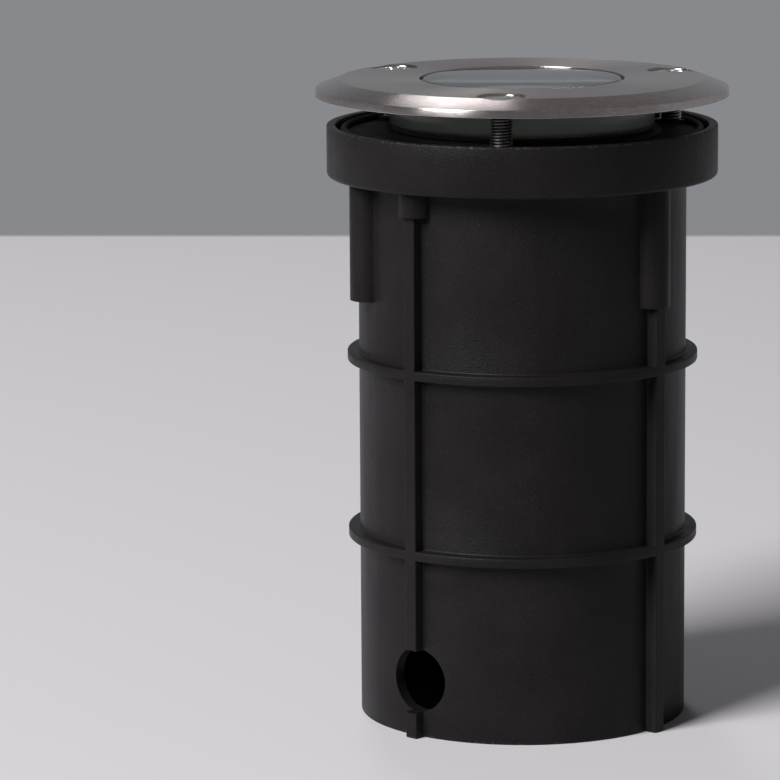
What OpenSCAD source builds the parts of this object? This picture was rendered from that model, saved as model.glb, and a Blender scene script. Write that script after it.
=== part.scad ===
// Recessed ground spotlight, in millimetres.
// +Z is up. The origin is the centre of the sleeve's open foot, on the surface that it stands on.
// The front of the light faces -Y. Angles are counted from +X, anticlockwise seen from above.

/* [Sleeve] */
// Height of the sleeve, foot to collar rim
sleeve_h = 159; // [140:1:240]
// Wall of the sleeve's tube
sleeve_wall = 3.4; // [2:0.1:4]
// Clearance between the flange and the collar
collar_gap = 1.3; // [0.5:0.1:3]
// Height of the collar's outer wall
collar_h = 13.5; // [12:0.5:16]
// Wall of the collar
collar_wall = 2.4; // [1.5:0.1:2.8]
// Thickness of the floor inside the collar
collar_floor_t = 2.5; // [1.5:0.1:3.5]
// Rounding of the collar's lower edge
collar_round = 1; // [0.4:0.1:2]

/* [Sleeve ribs] */
// How far the ring ribs and upright ribs stand out of the tube
rib_reach = 3.1; // [2:0.1:4.5]
// Height of one ring rib
ring_rib_t = 2.5; // [1.5:0.1:4]
// Height of the lowest ring rib above the foot
ring_rib_z = 48; // [34:1:52]
// Distance from one ring rib to the next
ring_rib_pitch = 48; // [20:1:49]
// Number of ring ribs
ring_ribs = 2; // [1:1:2]
// Width of an upright rib
rib_w = 3.6; // [2:0.1:6]
// Number of upright ribs
ribs = 4; // [3:1:4]
// Direction of the first upright rib and of the cable hole through it, in degrees
rib_angle = 231; // [229:1:233]
// Width of the half-round pad at the top of the first rib
pad_w = 9; // [6:0.1:12]
// Height of that pad
pad_h = 6.7; // [4:0.1:12]
// How far the pad stands out of the tube
pad_reach = 4.7; // [3.5:0.1:6]

/* [Cable hole] */
// Diameter of the cable hole in the sleeve
cable_hole_d = 17; // [10:0.1:18]
// Height of the hole's centre above the foot
cable_hole_z = 15.3; // [12:0.1:20]

/* [Sleeve screw bosses] */
// Clearance between the can and the screw bosses
boss_gap = 0.6; // [0.4:0.1:5]
// Diameter of a screw boss on the sleeve
boss_d = 9.4; // [8:0.1:9.8]
// How far the tube's outer face lies beyond the circle of the bosses' holes
tube_out = 0.4; // [0:0.1:1]
// How far the boss's outer half is set out from its hole
boss_offset = 0.4; // [0.1:0.1:1.2]
// Length of a boss below the collar
boss_l = 31.5; // [28:0.5:40]
// Diameter of the hole for the screw's thread
boss_hole_d = 5; // [4:0.1:5.4]
// Depth of that hole below the collar's floor
boss_hole_depth = 28; // [12:1:29]
// Direction of the first boss, in degrees
boss_angle = 201; // [199:1:205]

/* [Trim ring] */
// How far the trim ring reaches past the collar
trim_overhang = 3; // [1:0.1:8]
// Thickness of the trim ring
trim_t = 4.4; // [4.2:0.1:6]
// Height of its upright rim, below the bevel
trim_rim_h = 2; // [1:0.1:3]
// Width of the bevel
bevel_w = 6.5; // [2:0.1:8]
// Width of the gap between the lamp's edge and the light opening, seen from above
opening_margin = 2.2; // [0:0.1:4]
// Thickness of the metal over the glass
trim_cover_t = 1.8; // [1:0.1:2.4]
// Rounding at the opening's upper edge
opening_round = 0.3; // [0.1:0.05:0.6]

/* [Glass and gaskets] */
// How far the glass reaches under the ring, past the light opening
glass_lap = 8.05; // [5:0.05:9]
// Thickness of the glass under the ring
glass_t = 10; // [8:0.5:12]
// Clearance between the glass's raised middle and the light opening
glass_step_gap = 0.4; // [0.2:0.1:0.6]
// How far that raised middle sits below the ring's top
glass_sink = 0.1; // [0:0.1:0.4]
// Chamfer on the glass's edges
glass_chamfer = 0.7; // [0.3:0.1:0.9]
// Clearance round the glass, in the trim ring
glass_gap = 0.3; // [0.1:0.05:0.6]
// Thickness of the gasket above the glass
upper_gasket_t = 0.4; // [0.2:0.1:0.6]
// How far that gasket stands back from the light opening
gasket_setback = 0.8; // [0.3:0.1:2]
// Thickness of the gasket below the glass
lower_gasket_t = 1; // [0.5:0.1:2]

/* [Trim screws] */
// Direction of the front screw, in degrees
screw_angle = 263; // [261:1:265]
// Thread diameter of a trim screw
screw_d = 6; // [5:0.5:6]
// Length of a trim screw, head included
screw_l = 22; // [21:0.5:26]
// Diameter of the countersunk head
screw_head_d = 12; // [11:0.1:12.4]
// Height of the head's cylindrical edge
screw_head_edge = 0.5; // [0.2:0.1:0.8]
// How far the heads sit below the ring's top
screw_sink = 1; // [0.3:0.1:1.2]
// Width of one slot of the cross recess
recess_slot_w = 1.3; // [0.8:0.1:1.6]
// Span of the cross recess
recess_span = 6; // [4:0.1:7]
// Depth of the cross recess
recess_depth = 2; // [1:0.1:2.6]

/* [Housing] */
// Width of the flange outside the screws
flange_margin = 2; // [1.2:0.1:3]
// Thickness of the flange
flange_t = 3; // [2.5:0.1:4]
// Depth of the dish in the flange's top
dish_depth = 1; // [0.3:0.1:1.4]
// Width of the round bead at the flange's edge
bead_w = 1.9; // [1.2:0.1:2.2]
// Height of that bead above the flange
bead_h = 0.6; // [0.2:0.1:0.9]
// Diameter of the pad round each screw hole in the flange
flange_pad_d = 9; // [8:0.1:9.6]
// How far the can reaches past the glass
can_margin = 2.75; // [1.8:0.05:4]
// Wall of the can
can_wall = 2.5; // [2:0.1:3]
// Thickness of the can's floor
can_floor_t = 3; // [2.5:0.1:5]
// Radius of the can's lower outer corner
can_round = 4; // [1:0.5:6]
// Width of the ledge under the glass, which carries the lower gasket
ledge_lap = 4.25; // [3:0.05:6]
// Height of that ledge
ledge_t = 4; // [3.2:0.1:6]

/* [Lamp] */
// Diameter of the lamp
lamp_d = 50; // [44:0.5:60]
// Room between the lamp and the glass
lamp_room = 12; // [3:0.5:20]
// Length of the lamp without its pins
lamp_l = 48.7; // [44:0.1:50]
// Diameter of the lamp's base
lamp_base_d = 25; // [22:0.5:26]
// Length of the lamp's base
lamp_base_l = 14; // [10:0.5:16]
// Diameter of the step under the base, which stands on the holder
lamp_foot_d = 19; // [17:0.5:21]
// Height of the lamp's front rim
lamp_rim_h = 7; // [5:0.5:8]
// Width of the lamp's front rim
lamp_rim_w = 2.4; // [1.5:0.1:4]
// Thickness of the lamp's lens
lens_t = 2; // [1:0.1:3]
// Distance from the lens down to the LED board
board_drop = 6; // [4:0.5:6.5]
// Thickness of the LED board
board_t = 1.6; // [0.8:0.1:2]
// Number of LED chips on the board
chips = 6; // [3:1:8]
// Number of cooling grooves round the shell
shell_grooves = 24; // [12:1:30]
// Width of a cooling groove
groove_w = 1.6; // [1:0.1:2]
// Depth of a cooling groove
groove_depth = 1.4; // [0.6:0.1:1.6]
// Distance between the lamp's two pins
pin_pitch = 10; // [9.8:0.1:10.4]
// Diameter of a pin's head
pin_head_d = 5; // [4.6:0.1:5.2]
// Height of a pin's head
pin_head_h = 2.5; // [2:0.1:3]
// Diameter of a pin's neck
pin_neck_d = 3.2; // [2.8:0.1:3.4]
// Length of a pin
pin_l = 7; // [6.6:0.1:7.6]
// Turn from locked to free, in degrees
lamp_turn = 20; // [15:1:22]

/* [Lampholder] */
// Diameter of the ceramic holder
holder_d = 29; // [27:0.5:32]
// Height of the holder
holder_h = 16; // [15:0.5:18]
// Thickness of the holder's slotted face
holder_face_t = 3; // [2.5:0.1:3.3]
// Clearance round the pins in the slots
slot_gap = 0.3; // [0.2:0.05:0.35]
// Gap between the lamp's foot and the holder
lamp_gap = 0.3; // [0.2:0.05:0.5]
// Room below the pins for the contacts
contact_room = 2; // [1.6:0.1:2.5]
// Thickness of a contact
contact_t = 1.2; // [0.6:0.1:1.5]
// Distance between the holder's two fixing screws
holder_screw_pitch = 21; // [20:0.1:22.5]
// Diameter of the screws in the holder and the terminal block
slim_screw_d = 3; // [2.5:0.1:3]
// Length of those screws under the head
slim_screw_l = 7; // [5:0.5:8]

/* [Holder bracket] */
// Height of the bracket, foot to top
bracket_h = 14; // [13:0.5:16]
// Clearance between the bracket's feet and the can's wall
bracket_gap = 3.5; // [2.8:0.1:5]
// Thickness of the steel strip
bracket_t = 1.2; // [0.8:0.1:1.6]
// Width of the strip
bracket_strip_w = 16; // [14:0.5:17]
// Length of each foot
bracket_foot_l = 9; // [8.5:0.5:9.5]
// Height of the pads under the feet
bracket_pad_h = 5; // [4:0.5:7]
// Diameter of the pads under the feet and the earth lug
floor_pad_d = 8; // [7:0.5:9]
// Shank diameter of the screws in the pads
small_screw_d = 4; // [3:0.1:4]
// Length of those screws under the head
small_screw_l = 6; // [4:0.5:6.5]

/* [Wiring] */
// Distance between the terminals
terminal_pitch = 10; // [9:0.5:10.5]
// Number of terminals
terminals = 3; // [2:1:3]
// Clearance between the locknut and the terminal block
block_nut_gap = 2.5; // [0.5:0.1:3.5]
// Height of the terminal block
block_h = 14; // [12:0.5:16]
// Clearance between the block's far corner and the can's wall
block_gap = 1.9; // [1:0.1:3]
// Height of the wire holes above the can's floor
wire_z = 7; // [6:0.5:7.5]
// Diameter of a wire hole in the block
wire_hole_d = 3.4; // [2.8:0.1:4]
// Diameter of an insulated lead
lead_d = 2.4; // [1.6:0.1:2.6]
// Distance from the can's axis to the lamp leads, towards the block
lead_y = 4.5; // [3.5:0.5:5]
// Bend radius of the lamp leads
lead_bend = 6; // [4:0.5:6.5]
// How far a lead reaches into the block
lead_in = 5; // [3:0.5:6]
// Distance from the can's axis to the earth screw, away from the block
earth_y = 20; // [19:0.5:22]
// Diameter of the earth lug
lug_d = 8; // [7:0.5:9]
// Thickness of the earth lug
lug_t = 0.8; // [0.5:0.1:1.2]

/* [Cable gland] */
// Thread diameter of the gland
gland_d = 16; // [15:0.5:18]
// Diameter of the cable that the gland's seal takes
cable_d = 7.5; // [5:0.1:8]
// Wall of the gland's rubber seal
seal_wall = 2; // [1.5:0.1:2.2]
// Length of the rubber seal
seal_l = 8; // [6:0.5:9]
// Width across the flats of the gland's hexagons
gland_af = 21; // [20.5:0.5:23]
// Height of the gland body's hexagon
gland_hex_h = 5; // [4:0.5:7]
// Thickness of the gland's washer
gland_washer_t = 1.2; // [0.8:0.1:2]
// Height of the gland's locknut
locknut_h = 4; // [3:0.5:4.5]
// Length of the thread above the locknut
gland_stub = 1; // [0.5:0.5:1.5]
// Length of the lower thread
gland_thread_l = 12; // [10:0.5:14]
// Height of the gland's cap nut
gland_nut_h = 18; // [17:0.5:20]
// Height of the cap nut's hexagon, above its round end
gland_nut_hex_h = 11; // [8:0.5:12]

/* [Fits] */
// Gap between flat faces that rest on each other and move apart
seat_gap = 0.2; // [0.1:0.05:0.3]
// Radial clearance of a thread or turning fit
run_gap = 0.05; // [0.03:0.01:0.08]
// Radial clearance of a screw or lead in a plain hole
hole_gap = 0.3; // [0.2:0.05:0.5]

/* [Hidden] */
$fn = 96;

// Cutters reach this far past the face that they open
over = 1;
// Facets of small round details
small_fn = 32;
// Facets of screws and bosses
screw_fn = 48;
// Three screws, and three bosses, stand at equal steps
screws = 3;
screw_step = 360 / screws;

// Radii, from the lamp outwards to the trim ring's edge
lamp_r = lamp_d / 2;
opening_r = lamp_r + opening_margin;
glass_r = opening_r + glass_lap;
gasket_r = glass_r - glass_chamfer;
glass_step_r = opening_r - glass_step_gap;
ledge_r = glass_r - ledge_lap;
recess_r = glass_r + glass_gap;
land_r = recess_r + 1;
can_r = glass_r + can_margin;
can_bore_r = can_r - can_wall;
screw_circle_r = can_r + boss_gap + boss_d / 2;
sleeve_r = screw_circle_r + tube_out;
sleeve_bore_r = sleeve_r - sleeve_wall;
rib_root_r = sleeve_r - sleeve_wall / 2;
rib_r = sleeve_r + rib_reach;
screw_r = screw_d / 2;
flange_r = screw_circle_r + screw_r + flange_margin;
collar_bore_r = flange_r + collar_gap;
collar_r = collar_bore_r + collar_wall;
trim_r = collar_r + trim_overhang;
flat_r = trim_r - bevel_w;

// Heights of the sleeve's collar
collar_z = sleeve_h - collar_h;
floor_z = collar_z + collar_floor_t;
rib_h = collar_z + collar_floor_t / 2;

// Heights from the screws' ends up to the trim ring, then down through the glass to the flange
screw_end_z = floor_z + seat_gap;
screw_top_z = screw_end_z + screw_l;
trim_top_z = screw_top_z + screw_sink;
trim_z = trim_top_z - trim_t;
recess_top_z = trim_top_z - trim_cover_t;
glass_top_z = recess_top_z - upper_gasket_t;
glass_z = glass_top_z - glass_t;
glass_h = trim_top_z - glass_sink - glass_z;
land_z = glass_z - lower_gasket_t;
dish_z = land_z - dish_depth;
flange_z = land_z - flange_t;

// Screw heads
head_r = screw_head_d / 2;
head_cone_h = head_r - screw_r;
head_cone_z = screw_top_z - screw_head_edge - head_cone_h;

// Lamp, holder and bracket, from the glass downwards to the can's floor
lamp_top_z = glass_z - lamp_room;
lamp_rim_z = lamp_top_z - lamp_rim_h;
lamp_z = lamp_top_z - lamp_l;
lamp_neck_z = lamp_z + lamp_base_l;
lamp_base_r = lamp_base_d / 2;
lens_r = lamp_r - lamp_rim_w;
lens_z = lamp_top_z - lens_t;
board_r = lens_r - 1;
board_z = lens_z - board_drop;
holder_top_z = lamp_z - lamp_gap;
holder_z = holder_top_z - holder_h;
pin_r = pin_pitch / 2;
pin_end_z = lamp_z - pin_l;
face_z = holder_top_z - holder_face_t;
chamber_z = pin_end_z - contact_room;
pad_z = holder_z - bracket_h;
bracket_r = can_bore_r - bracket_gap;
leg_x = bracket_r - bracket_foot_l;
foot_x = bracket_r - bracket_foot_l / 2;

// Housing
can_floor_z = pad_z - bracket_pad_h;
can_z = can_floor_z - can_floor_t;
small_hole_r = small_screw_d / 2 + run_gap;
slim_hole_r = slim_screw_d / 2 + run_gap;
// Depth of the blind hole under the terminal block, within the can's floor
block_hole_depth = can_floor_t * 0.7;

// Wiring
wire_level = can_floor_z + wire_z;
first_terminal_x = -terminal_pitch / 2;
last_terminal_x = first_terminal_x + (terminals - 1) * terminal_pitch;
block_x = last_terminal_x + terminal_pitch / 2;
block_y = gland_af / 2 + block_nut_gap;
block_w = sqrt(pow(can_bore_r - block_gap, 2) - pow(block_x, 2)) - block_y;
block_mid_y = block_y + block_w / 2;
lead_r = lead_d / 2;
lug_z = wire_level - lug_t;

// Gland, from the can's floor downwards
gland_r = gland_d / 2;
seal_r = cable_d / 2 + seal_wall;
cable_way_r = cable_d / 2 + 0.75;
gland_hex_z = can_z - gland_washer_t - gland_hex_h;
gland_end_z = gland_hex_z - gland_thread_l;
nut_top_z = gland_hex_z - 2 * seat_gap;
nut_z = nut_top_z - gland_nut_h;

// The children, moved out to a radius in a chosen direction
module at_angle(angle, radius) {
    rotate([0, 0, angle])
        translate([radius, 0, 0])
            children();
}

// The children once for each of the screws, from a first direction
module at_screws(first) {
    for (i = [0 : screws - 1])
        at_angle(first + i * screw_step, screw_circle_r)
            children();
}

// A hexagonal prism with a chosen width across its flats
module hexagon(af, h) {
    cylinder(r = af / sqrt(3), h = h, $fn = 6);
}

// A plain ring
module ring(outer, inner, h) {
    difference() {
        cylinder(r = outer, h = h);
        translate([0, 0, -over])
            cylinder(r = inner, h = h + 2 * over);
    }
}

// Part of a ring, over an angle that starts at +X
module sector(inner, outer, angle, h) {
    rotate_extrude(angle = angle)
        translate([inner, 0])
            square([outer - inner, h]);
}

// A pan-head screw whose head stands on z = 0, with a straight slot
module pan_screw(d, l) {
    head_d = 1.8 * d;
    head_h = 0.6 * d;
    slot_w = 0.2 * d;
    difference() {
        union() {
            translate([0, 0, -l])
                cylinder(d = d, h = l, $fn = small_fn);
            cylinder(d = head_d, h = head_h, $fn = small_fn);
        }
        translate([-head_d, -slot_w / 2, head_h / 2])
            cube([2 * head_d, slot_w, head_h]);
    }
}

// Tube, floor and collar of the sleeve, as one turned profile
module sleeve_shell() {
    edge = collar_wall / 6;
    lower_edge = [for (a = [-90 : 15 : 0]) [
        collar_r - collar_round + collar_round * cos(a),
        collar_z + collar_round + collar_round * sin(a)
    ]];
    rotate_extrude()
        polygon(concat(
            [[sleeve_bore_r, 0], [sleeve_r, 0], [sleeve_r, collar_z]],
            lower_edge,
            [[collar_r, sleeve_h - edge], [collar_r - edge, sleeve_h]],
            [[collar_bore_r + edge, sleeve_h], [collar_bore_r, sleeve_h - edge]],
            [[collar_bore_r, floor_z], [sleeve_bore_r, floor_z]]
        ));
}

// A ring rib with softened outer corners
module ring_rib() {
    soft = ring_rib_t / 8;
    rotate_extrude()
        polygon([
            [rib_root_r, 0], [rib_r - soft, 0], [rib_r, soft],
            [rib_r, ring_rib_t - soft], [rib_r - soft, ring_rib_t], [rib_root_r, ring_rib_t]
        ]);
}

// An upright rib, from the foot into the collar's floor
module upright_rib() {
    translate([rib_root_r, -rib_w / 2, 0])
        cube([rib_r - rib_root_r, rib_w, rib_h]);
}

// The half-round pad where the first rib meets the collar, kept out of the bore
module rib_pad() {
    side = pad_w / 2;
    h = rib_h - collar_z + pad_h;
    translate([0, 0, collar_z - pad_h])
        difference() {
            translate([sleeve_r + pad_reach - side, 0, 0])
                cylinder(r = side, h = h, $fn = screw_fn);
            translate([0, 0, -over])
                cylinder(r = rib_root_r, h = h + 2 * over);
        }
}

// A screw boss, drawn round its hole, with its outer half set out
module screw_boss() {
    for (shift = [0, boss_offset])
        translate([shift, 0, collar_z - boss_l])
            cylinder(d = boss_d, h = boss_l + collar_floor_t, $fn = screw_fn);
}

module sleeve() {
    color("#1c1c1e")
    difference() {
        union() {
            sleeve_shell();
            for (i = [0 : ring_ribs - 1])
                translate([0, 0, ring_rib_z + i * ring_rib_pitch])
                    ring_rib();
            for (i = [0 : ribs - 1])
                rotate([0, 0, rib_angle + i * 360 / ribs])
                    upright_rib();
            rotate([0, 0, rib_angle])
                rib_pad();
            at_screws(boss_angle)
                screw_boss();
        }
        at_screws(boss_angle)
            translate([0, 0, floor_z - boss_hole_depth])
                cylinder(d = boss_hole_d, h = boss_hole_depth + over, $fn = screw_fn);
        rotate([0, 0, rib_angle])
            translate([sleeve_bore_r - 3 * over, 0, cable_hole_z])
                rotate([0, 90, 0])
                    cylinder(d = cable_hole_d, h = rib_r, $fn = 64);
    }
}

// Can, flange and ledge of the housing, as one turned profile
module housing_shell() {
    edge = 0.4;
    bead_r = bead_w / 2;
    bead_z = land_z + bead_h - bead_r;
    ledge_z = land_z - ledge_t;
    bead = [for (a = [0 : 20 : 180]) [flange_r - bead_r + bead_r * cos(a), bead_z + bead_r * sin(a)]];
    corner = [for (a = [-90 : 15 : 0]) [
        can_r - can_round + can_round * cos(a),
        can_z + can_round + can_round * sin(a)
    ]];
    rotate_extrude()
        polygon(concat(
            [[0, can_z]],
            corner,
            [[can_r, flange_z], [flange_r - edge, flange_z], [flange_r, flange_z + edge]],
            bead,
            [[flange_r - bead_w, dish_z], [land_r, dish_z], [land_r, land_z]],
            [[ledge_r, land_z], [ledge_r, ledge_z], [can_bore_r, ledge_z - can_bore_r + ledge_r]],
            [[can_bore_r, can_floor_z], [0, can_floor_z]]
        ));
}

// A round pad that grows out of the can's floor, up to a height
module floor_pad(top_z) {
    root_z = can_floor_z - can_floor_t / 2;
    translate([0, 0, root_z])
        cylinder(d = floor_pad_d, h = top_z - root_z, $fn = small_fn);
}

// The blind hole for a small screw, down from the top of its pad
module pad_hole(top_z) {
    translate([0, 0, top_z - small_screw_l])
        cylinder(r = small_hole_r, h = small_screw_l + over, $fn = small_fn);
}

module housing() {
    color("#161617")
    difference() {
        union() {
            housing_shell();
            at_screws(screw_angle)
                translate([0, 0, flange_z])
                    cylinder(d = flange_pad_d, h = flange_t, $fn = screw_fn);
            for (side = [-1, 1])
                translate([side * foot_x, 0, 0])
                    floor_pad(pad_z);
            translate([last_terminal_x, -earth_y, 0])
                floor_pad(lug_z);
        }
        at_screws(screw_angle)
            translate([0, 0, flange_z - over])
                cylinder(r = screw_r + run_gap, h = flange_t + 2 * over, $fn = screw_fn);
        for (side = [-1, 1])
            translate([side * foot_x, 0, 0])
                pad_hole(pad_z);
        translate([last_terminal_x, -earth_y, 0])
            pad_hole(lug_z);
        translate([0, block_mid_y, can_floor_z - block_hole_depth])
            cylinder(r = slim_hole_r, h = block_hole_depth + over, $fn = small_fn);
        translate([0, 0, can_z - over])
            cylinder(r = gland_r + run_gap, h = can_floor_t + 2 * over);
    }
}

module lower_gasket() {
    color("#0d0d0e")
    translate([0, 0, land_z])
        ring(gasket_r, ledge_r, lower_gasket_t);
}

// A stepped disc: its shoulder lies under the ring, and its middle fills the light opening
module glass() {
    c = glass_chamfer;
    color([0.72, 0.8, 0.8, 0.45])
    translate([0, 0, glass_z])
        rotate_extrude()
            polygon([
                [0, 0], [glass_r - c, 0], [glass_r, c],
                [glass_r, glass_t - c], [glass_r - c, glass_t], [glass_step_r, glass_t],
                [glass_step_r, glass_h - c], [glass_step_r - c, glass_h], [0, glass_h]
            ]);
}

module upper_gasket() {
    color("#0d0d0e")
    translate([0, 0, glass_top_z])
        ring(gasket_r, opening_r + gasket_setback, upper_gasket_t);
}

// Room for one screw in the trim ring: through hole, countersink and the recess above the head
module screw_seat() {
    clear_r = screw_r + hole_gap;
    seat_r = head_r + hole_gap;
    seat_z = head_cone_z + head_cone_h;
    translate([0, 0, trim_z - over])
        cylinder(r = clear_r, h = trim_t, $fn = screw_fn);
    translate([0, 0, head_cone_z])
        cylinder(r1 = clear_r, r2 = seat_r, h = head_cone_h, $fn = screw_fn);
    translate([0, 0, seat_z])
        cylinder(r = seat_r, h = trim_top_z - seat_z + over, $fn = screw_fn);
}

module trim_ring() {
    e = opening_round;
    burr = 0.2;
    color("#b9b4b0")
    difference() {
        rotate_extrude()
            polygon([
                [opening_r, recess_top_z], [recess_r, recess_top_z], [recess_r, trim_z],
                [trim_r - burr, trim_z], [trim_r, trim_z + burr],
                [trim_r, trim_z + trim_rim_h], [flat_r, trim_top_z],
                [opening_r + e, trim_top_z], [opening_r, trim_top_z - e]
            ]);
        at_screws(screw_angle)
            screw_seat();
    }
}

// A countersunk screw with a cross recess, standing in the chosen direction
module trim_screw(angle) {
    tip = 0.6;
    edge = 0.1;
    color("#cfcfd2")
    at_angle(angle, screw_circle_r)
        difference() {
            rotate_extrude($fn = screw_fn)
                polygon([
                    [0, screw_end_z], [screw_r - tip, screw_end_z], [screw_r, screw_end_z + tip],
                    [screw_r, head_cone_z], [head_r, head_cone_z + head_cone_h],
                    [head_r, screw_top_z - edge], [head_r - edge, screw_top_z], [0, screw_top_z]
                ]);
            for (turn = [0, 90])
                rotate([0, 0, turn])
                    translate([-recess_span / 2, -recess_slot_w / 2, screw_top_z - recess_depth])
                        cube([recess_span, recess_slot_w, recess_depth + over]);
        }
}

module screw_front() {
    trim_screw(screw_angle);
}

module screw_right() {
    trim_screw(screw_angle + screw_step);
}

module screw_left() {
    trim_screw(screw_angle + 2 * screw_step);
}

// The lamp shell's flare starts above its neck and ends at its rim
flare = 3;
flare_h = 5;
shell_edge = 0.6;

// One cooling groove, cut along the flare
module shell_groove() {
    r0 = lamp_base_r + flare;
    r1 = lamp_r - shell_edge;
    z0 = lamp_neck_z + flare_h;
    slope = (r1 - r0) / (lamp_rim_z - z0);
    end = 2;
    bottom = r0 - groove_depth + slope * end;
    top = r1 - groove_depth - slope * end;
    rotate([90, 0, 0])
        translate([0, 0, -groove_w / 2])
            linear_extrude(groove_w)
                polygon([
                    [bottom, z0 + end], [lamp_r + over, z0 + end],
                    [lamp_r + over, lamp_rim_z - end], [top, lamp_rim_z - end]
                ]);
}

module lamp_shell() {
    color("#e4e4e6")
    difference() {
        rotate_extrude()
            polygon([
                [0, lamp_neck_z], [lamp_base_r, lamp_neck_z],
                [lamp_base_r + flare, lamp_neck_z + flare_h],
                [lamp_r - shell_edge, lamp_rim_z], [lamp_r, lamp_rim_z + shell_edge],
                [lamp_r, lamp_top_z - shell_edge], [lamp_r - shell_edge, lamp_top_z],
                [lens_r, lamp_top_z], [lens_r, lens_z], [board_r, lens_z],
                [board_r, board_z], [0, board_z]
            ]);
        for (i = [0 : shell_grooves - 1])
            rotate([0, 0, i * 360 / shell_grooves])
                shell_groove();
    }
}

module lamp_lens() {
    color([0.93, 0.95, 0.97, 0.6])
    translate([0, 0, lens_z])
        cylinder(r = lens_r - run_gap, h = lens_t);
}

module led_board() {
    chip = 3.5;
    chip_h = 0.8;
    color("#f2f0e6")
    translate([0, 0, board_z]) {
        cylinder(r = board_r - run_gap, h = board_t);
        for (i = [0 : chips - 1])
            at_angle(i * 360 / chips, board_r / 2)
                translate([-chip / 2, -chip / 2, board_t / 2])
                    cube([chip, chip, board_t / 2 + chip_h]);
    }
}

module lamp_base() {
    foot_r = lamp_foot_d / 2;
    foot_h = 2;
    color("#f4f4f2")
    translate([0, 0, lamp_z])
        rotate_extrude()
            polygon([
                [0, 0], [foot_r, 0], [foot_r, foot_h],
                [lamp_base_r, foot_h], [lamp_base_r, lamp_base_l], [0, lamp_base_l]
            ]);
}

module lamp_pins() {
    color("#d9b45a")
    for (side = [0, 180])
        at_angle(side, pin_r)
            translate([0, 0, pin_end_z]) {
                cylinder(d = pin_head_d, h = pin_head_h, $fn = small_fn);
                cylinder(d = pin_neck_d, h = pin_l, $fn = small_fn);
            }
}

// Keyhole for one pin: a slot for its neck, round to the hole that lets its head out
module keyhole(neck_r, head_r) {
    h = holder_face_t + 2 * over;
    translate([0, 0, face_z - over]) {
        at_angle(0, pin_r)
            cylinder(r = neck_r, h = h, $fn = small_fn);
        sector(pin_r - neck_r, pin_r + neck_r, lamp_turn, h);
        at_angle(lamp_turn, pin_r)
            cylinder(r = head_r, h = h, $fn = small_fn);
    }
}

// The lampholder's face has two keyholes, and the pin heads turn in two chambers below it
module lampholder() {
    keyhole_neck_r = pin_neck_d / 2 + slot_gap;
    keyhole_head_r = pin_head_d / 2 + slot_gap;
    half = asin(keyhole_head_r / pin_r) + 2;
    lead_hole_depth = 3;
    color("#efece2")
    difference() {
        translate([0, 0, holder_z])
            cylinder(d = holder_d, h = holder_h);
        for (side = [0, 180])
            rotate([0, 0, side]) {
                keyhole(keyhole_neck_r, keyhole_head_r);
                rotate([0, 0, -half])
                    translate([0, 0, chamber_z])
                        sector(pin_r - keyhole_head_r, pin_r + keyhole_head_r, 2 * half + lamp_turn,
                            face_z - chamber_z);
                at_angle(0, holder_screw_pitch / 2)
                    translate([0, 0, holder_z - over])
                        cylinder(r = slim_hole_r, h = slim_screw_l + over, $fn = small_fn);
            }
        for (side = [-1, 1])
            translate([side * terminal_pitch / 2, lead_y, holder_z - over])
                cylinder(r = lead_r + run_gap, h = lead_hole_depth + over, $fn = small_fn);
    }
}

// Two bent contacts on the floors of the holder's chambers
module holder_contacts() {
    reach = 1.5;
    color("#c9a14a")
    for (side = [0, 180])
        rotate([0, 0, side - reach * 8])
            translate([0, 0, chamber_z])
                sector(pin_r - reach, pin_r + reach, lamp_turn + reach * 16, contact_t);
}

module holder_bracket() {
    half_w = bracket_strip_w / 2;
    color("#a9adb1")
    difference() {
        union() {
            translate([-leg_x, -half_w, holder_z - bracket_t])
                cube([2 * leg_x, bracket_strip_w, bracket_t]);
            for (side = [0, 180])
                rotate([0, 0, side])
                    translate([leg_x - bracket_t, -half_w, pad_z]) {
                        cube([bracket_t, bracket_strip_w, bracket_h]);
                        cube([bracket_foot_l + bracket_t, bracket_strip_w, bracket_t]);
                    }
        }
        for (side = [-1, 1]) {
            translate([side * foot_x, 0, pad_z - over])
                cylinder(r = small_hole_r + hole_gap, h = bracket_t + 2 * over, $fn = small_fn);
            translate([side * holder_screw_pitch / 2, 0, holder_z - bracket_t - over])
                cylinder(r = slim_hole_r + hole_gap, h = bracket_t + 2 * over, $fn = small_fn);
            translate([side * terminal_pitch / 2, lead_y, holder_z - bracket_t - over])
                cylinder(r = lead_r + hole_gap, h = bracket_t + 2 * over, $fn = small_fn);
        }
    }
}

// Screws from below, through the bracket into the holder
module holder_screws() {
    color("#c4c6c9")
    for (side = [-1, 1])
        translate([side * holder_screw_pitch / 2, 0, holder_z - bracket_t])
            rotate([180, 0, 0])
                pan_screw(slim_screw_d, slim_screw_l);
}

module bracket_screws() {
    color("#c4c6c9")
    for (side = [-1, 1])
        translate([side * foot_x, 0, pad_z + bracket_t])
            pan_screw(small_screw_d, small_screw_l);
}

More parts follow.
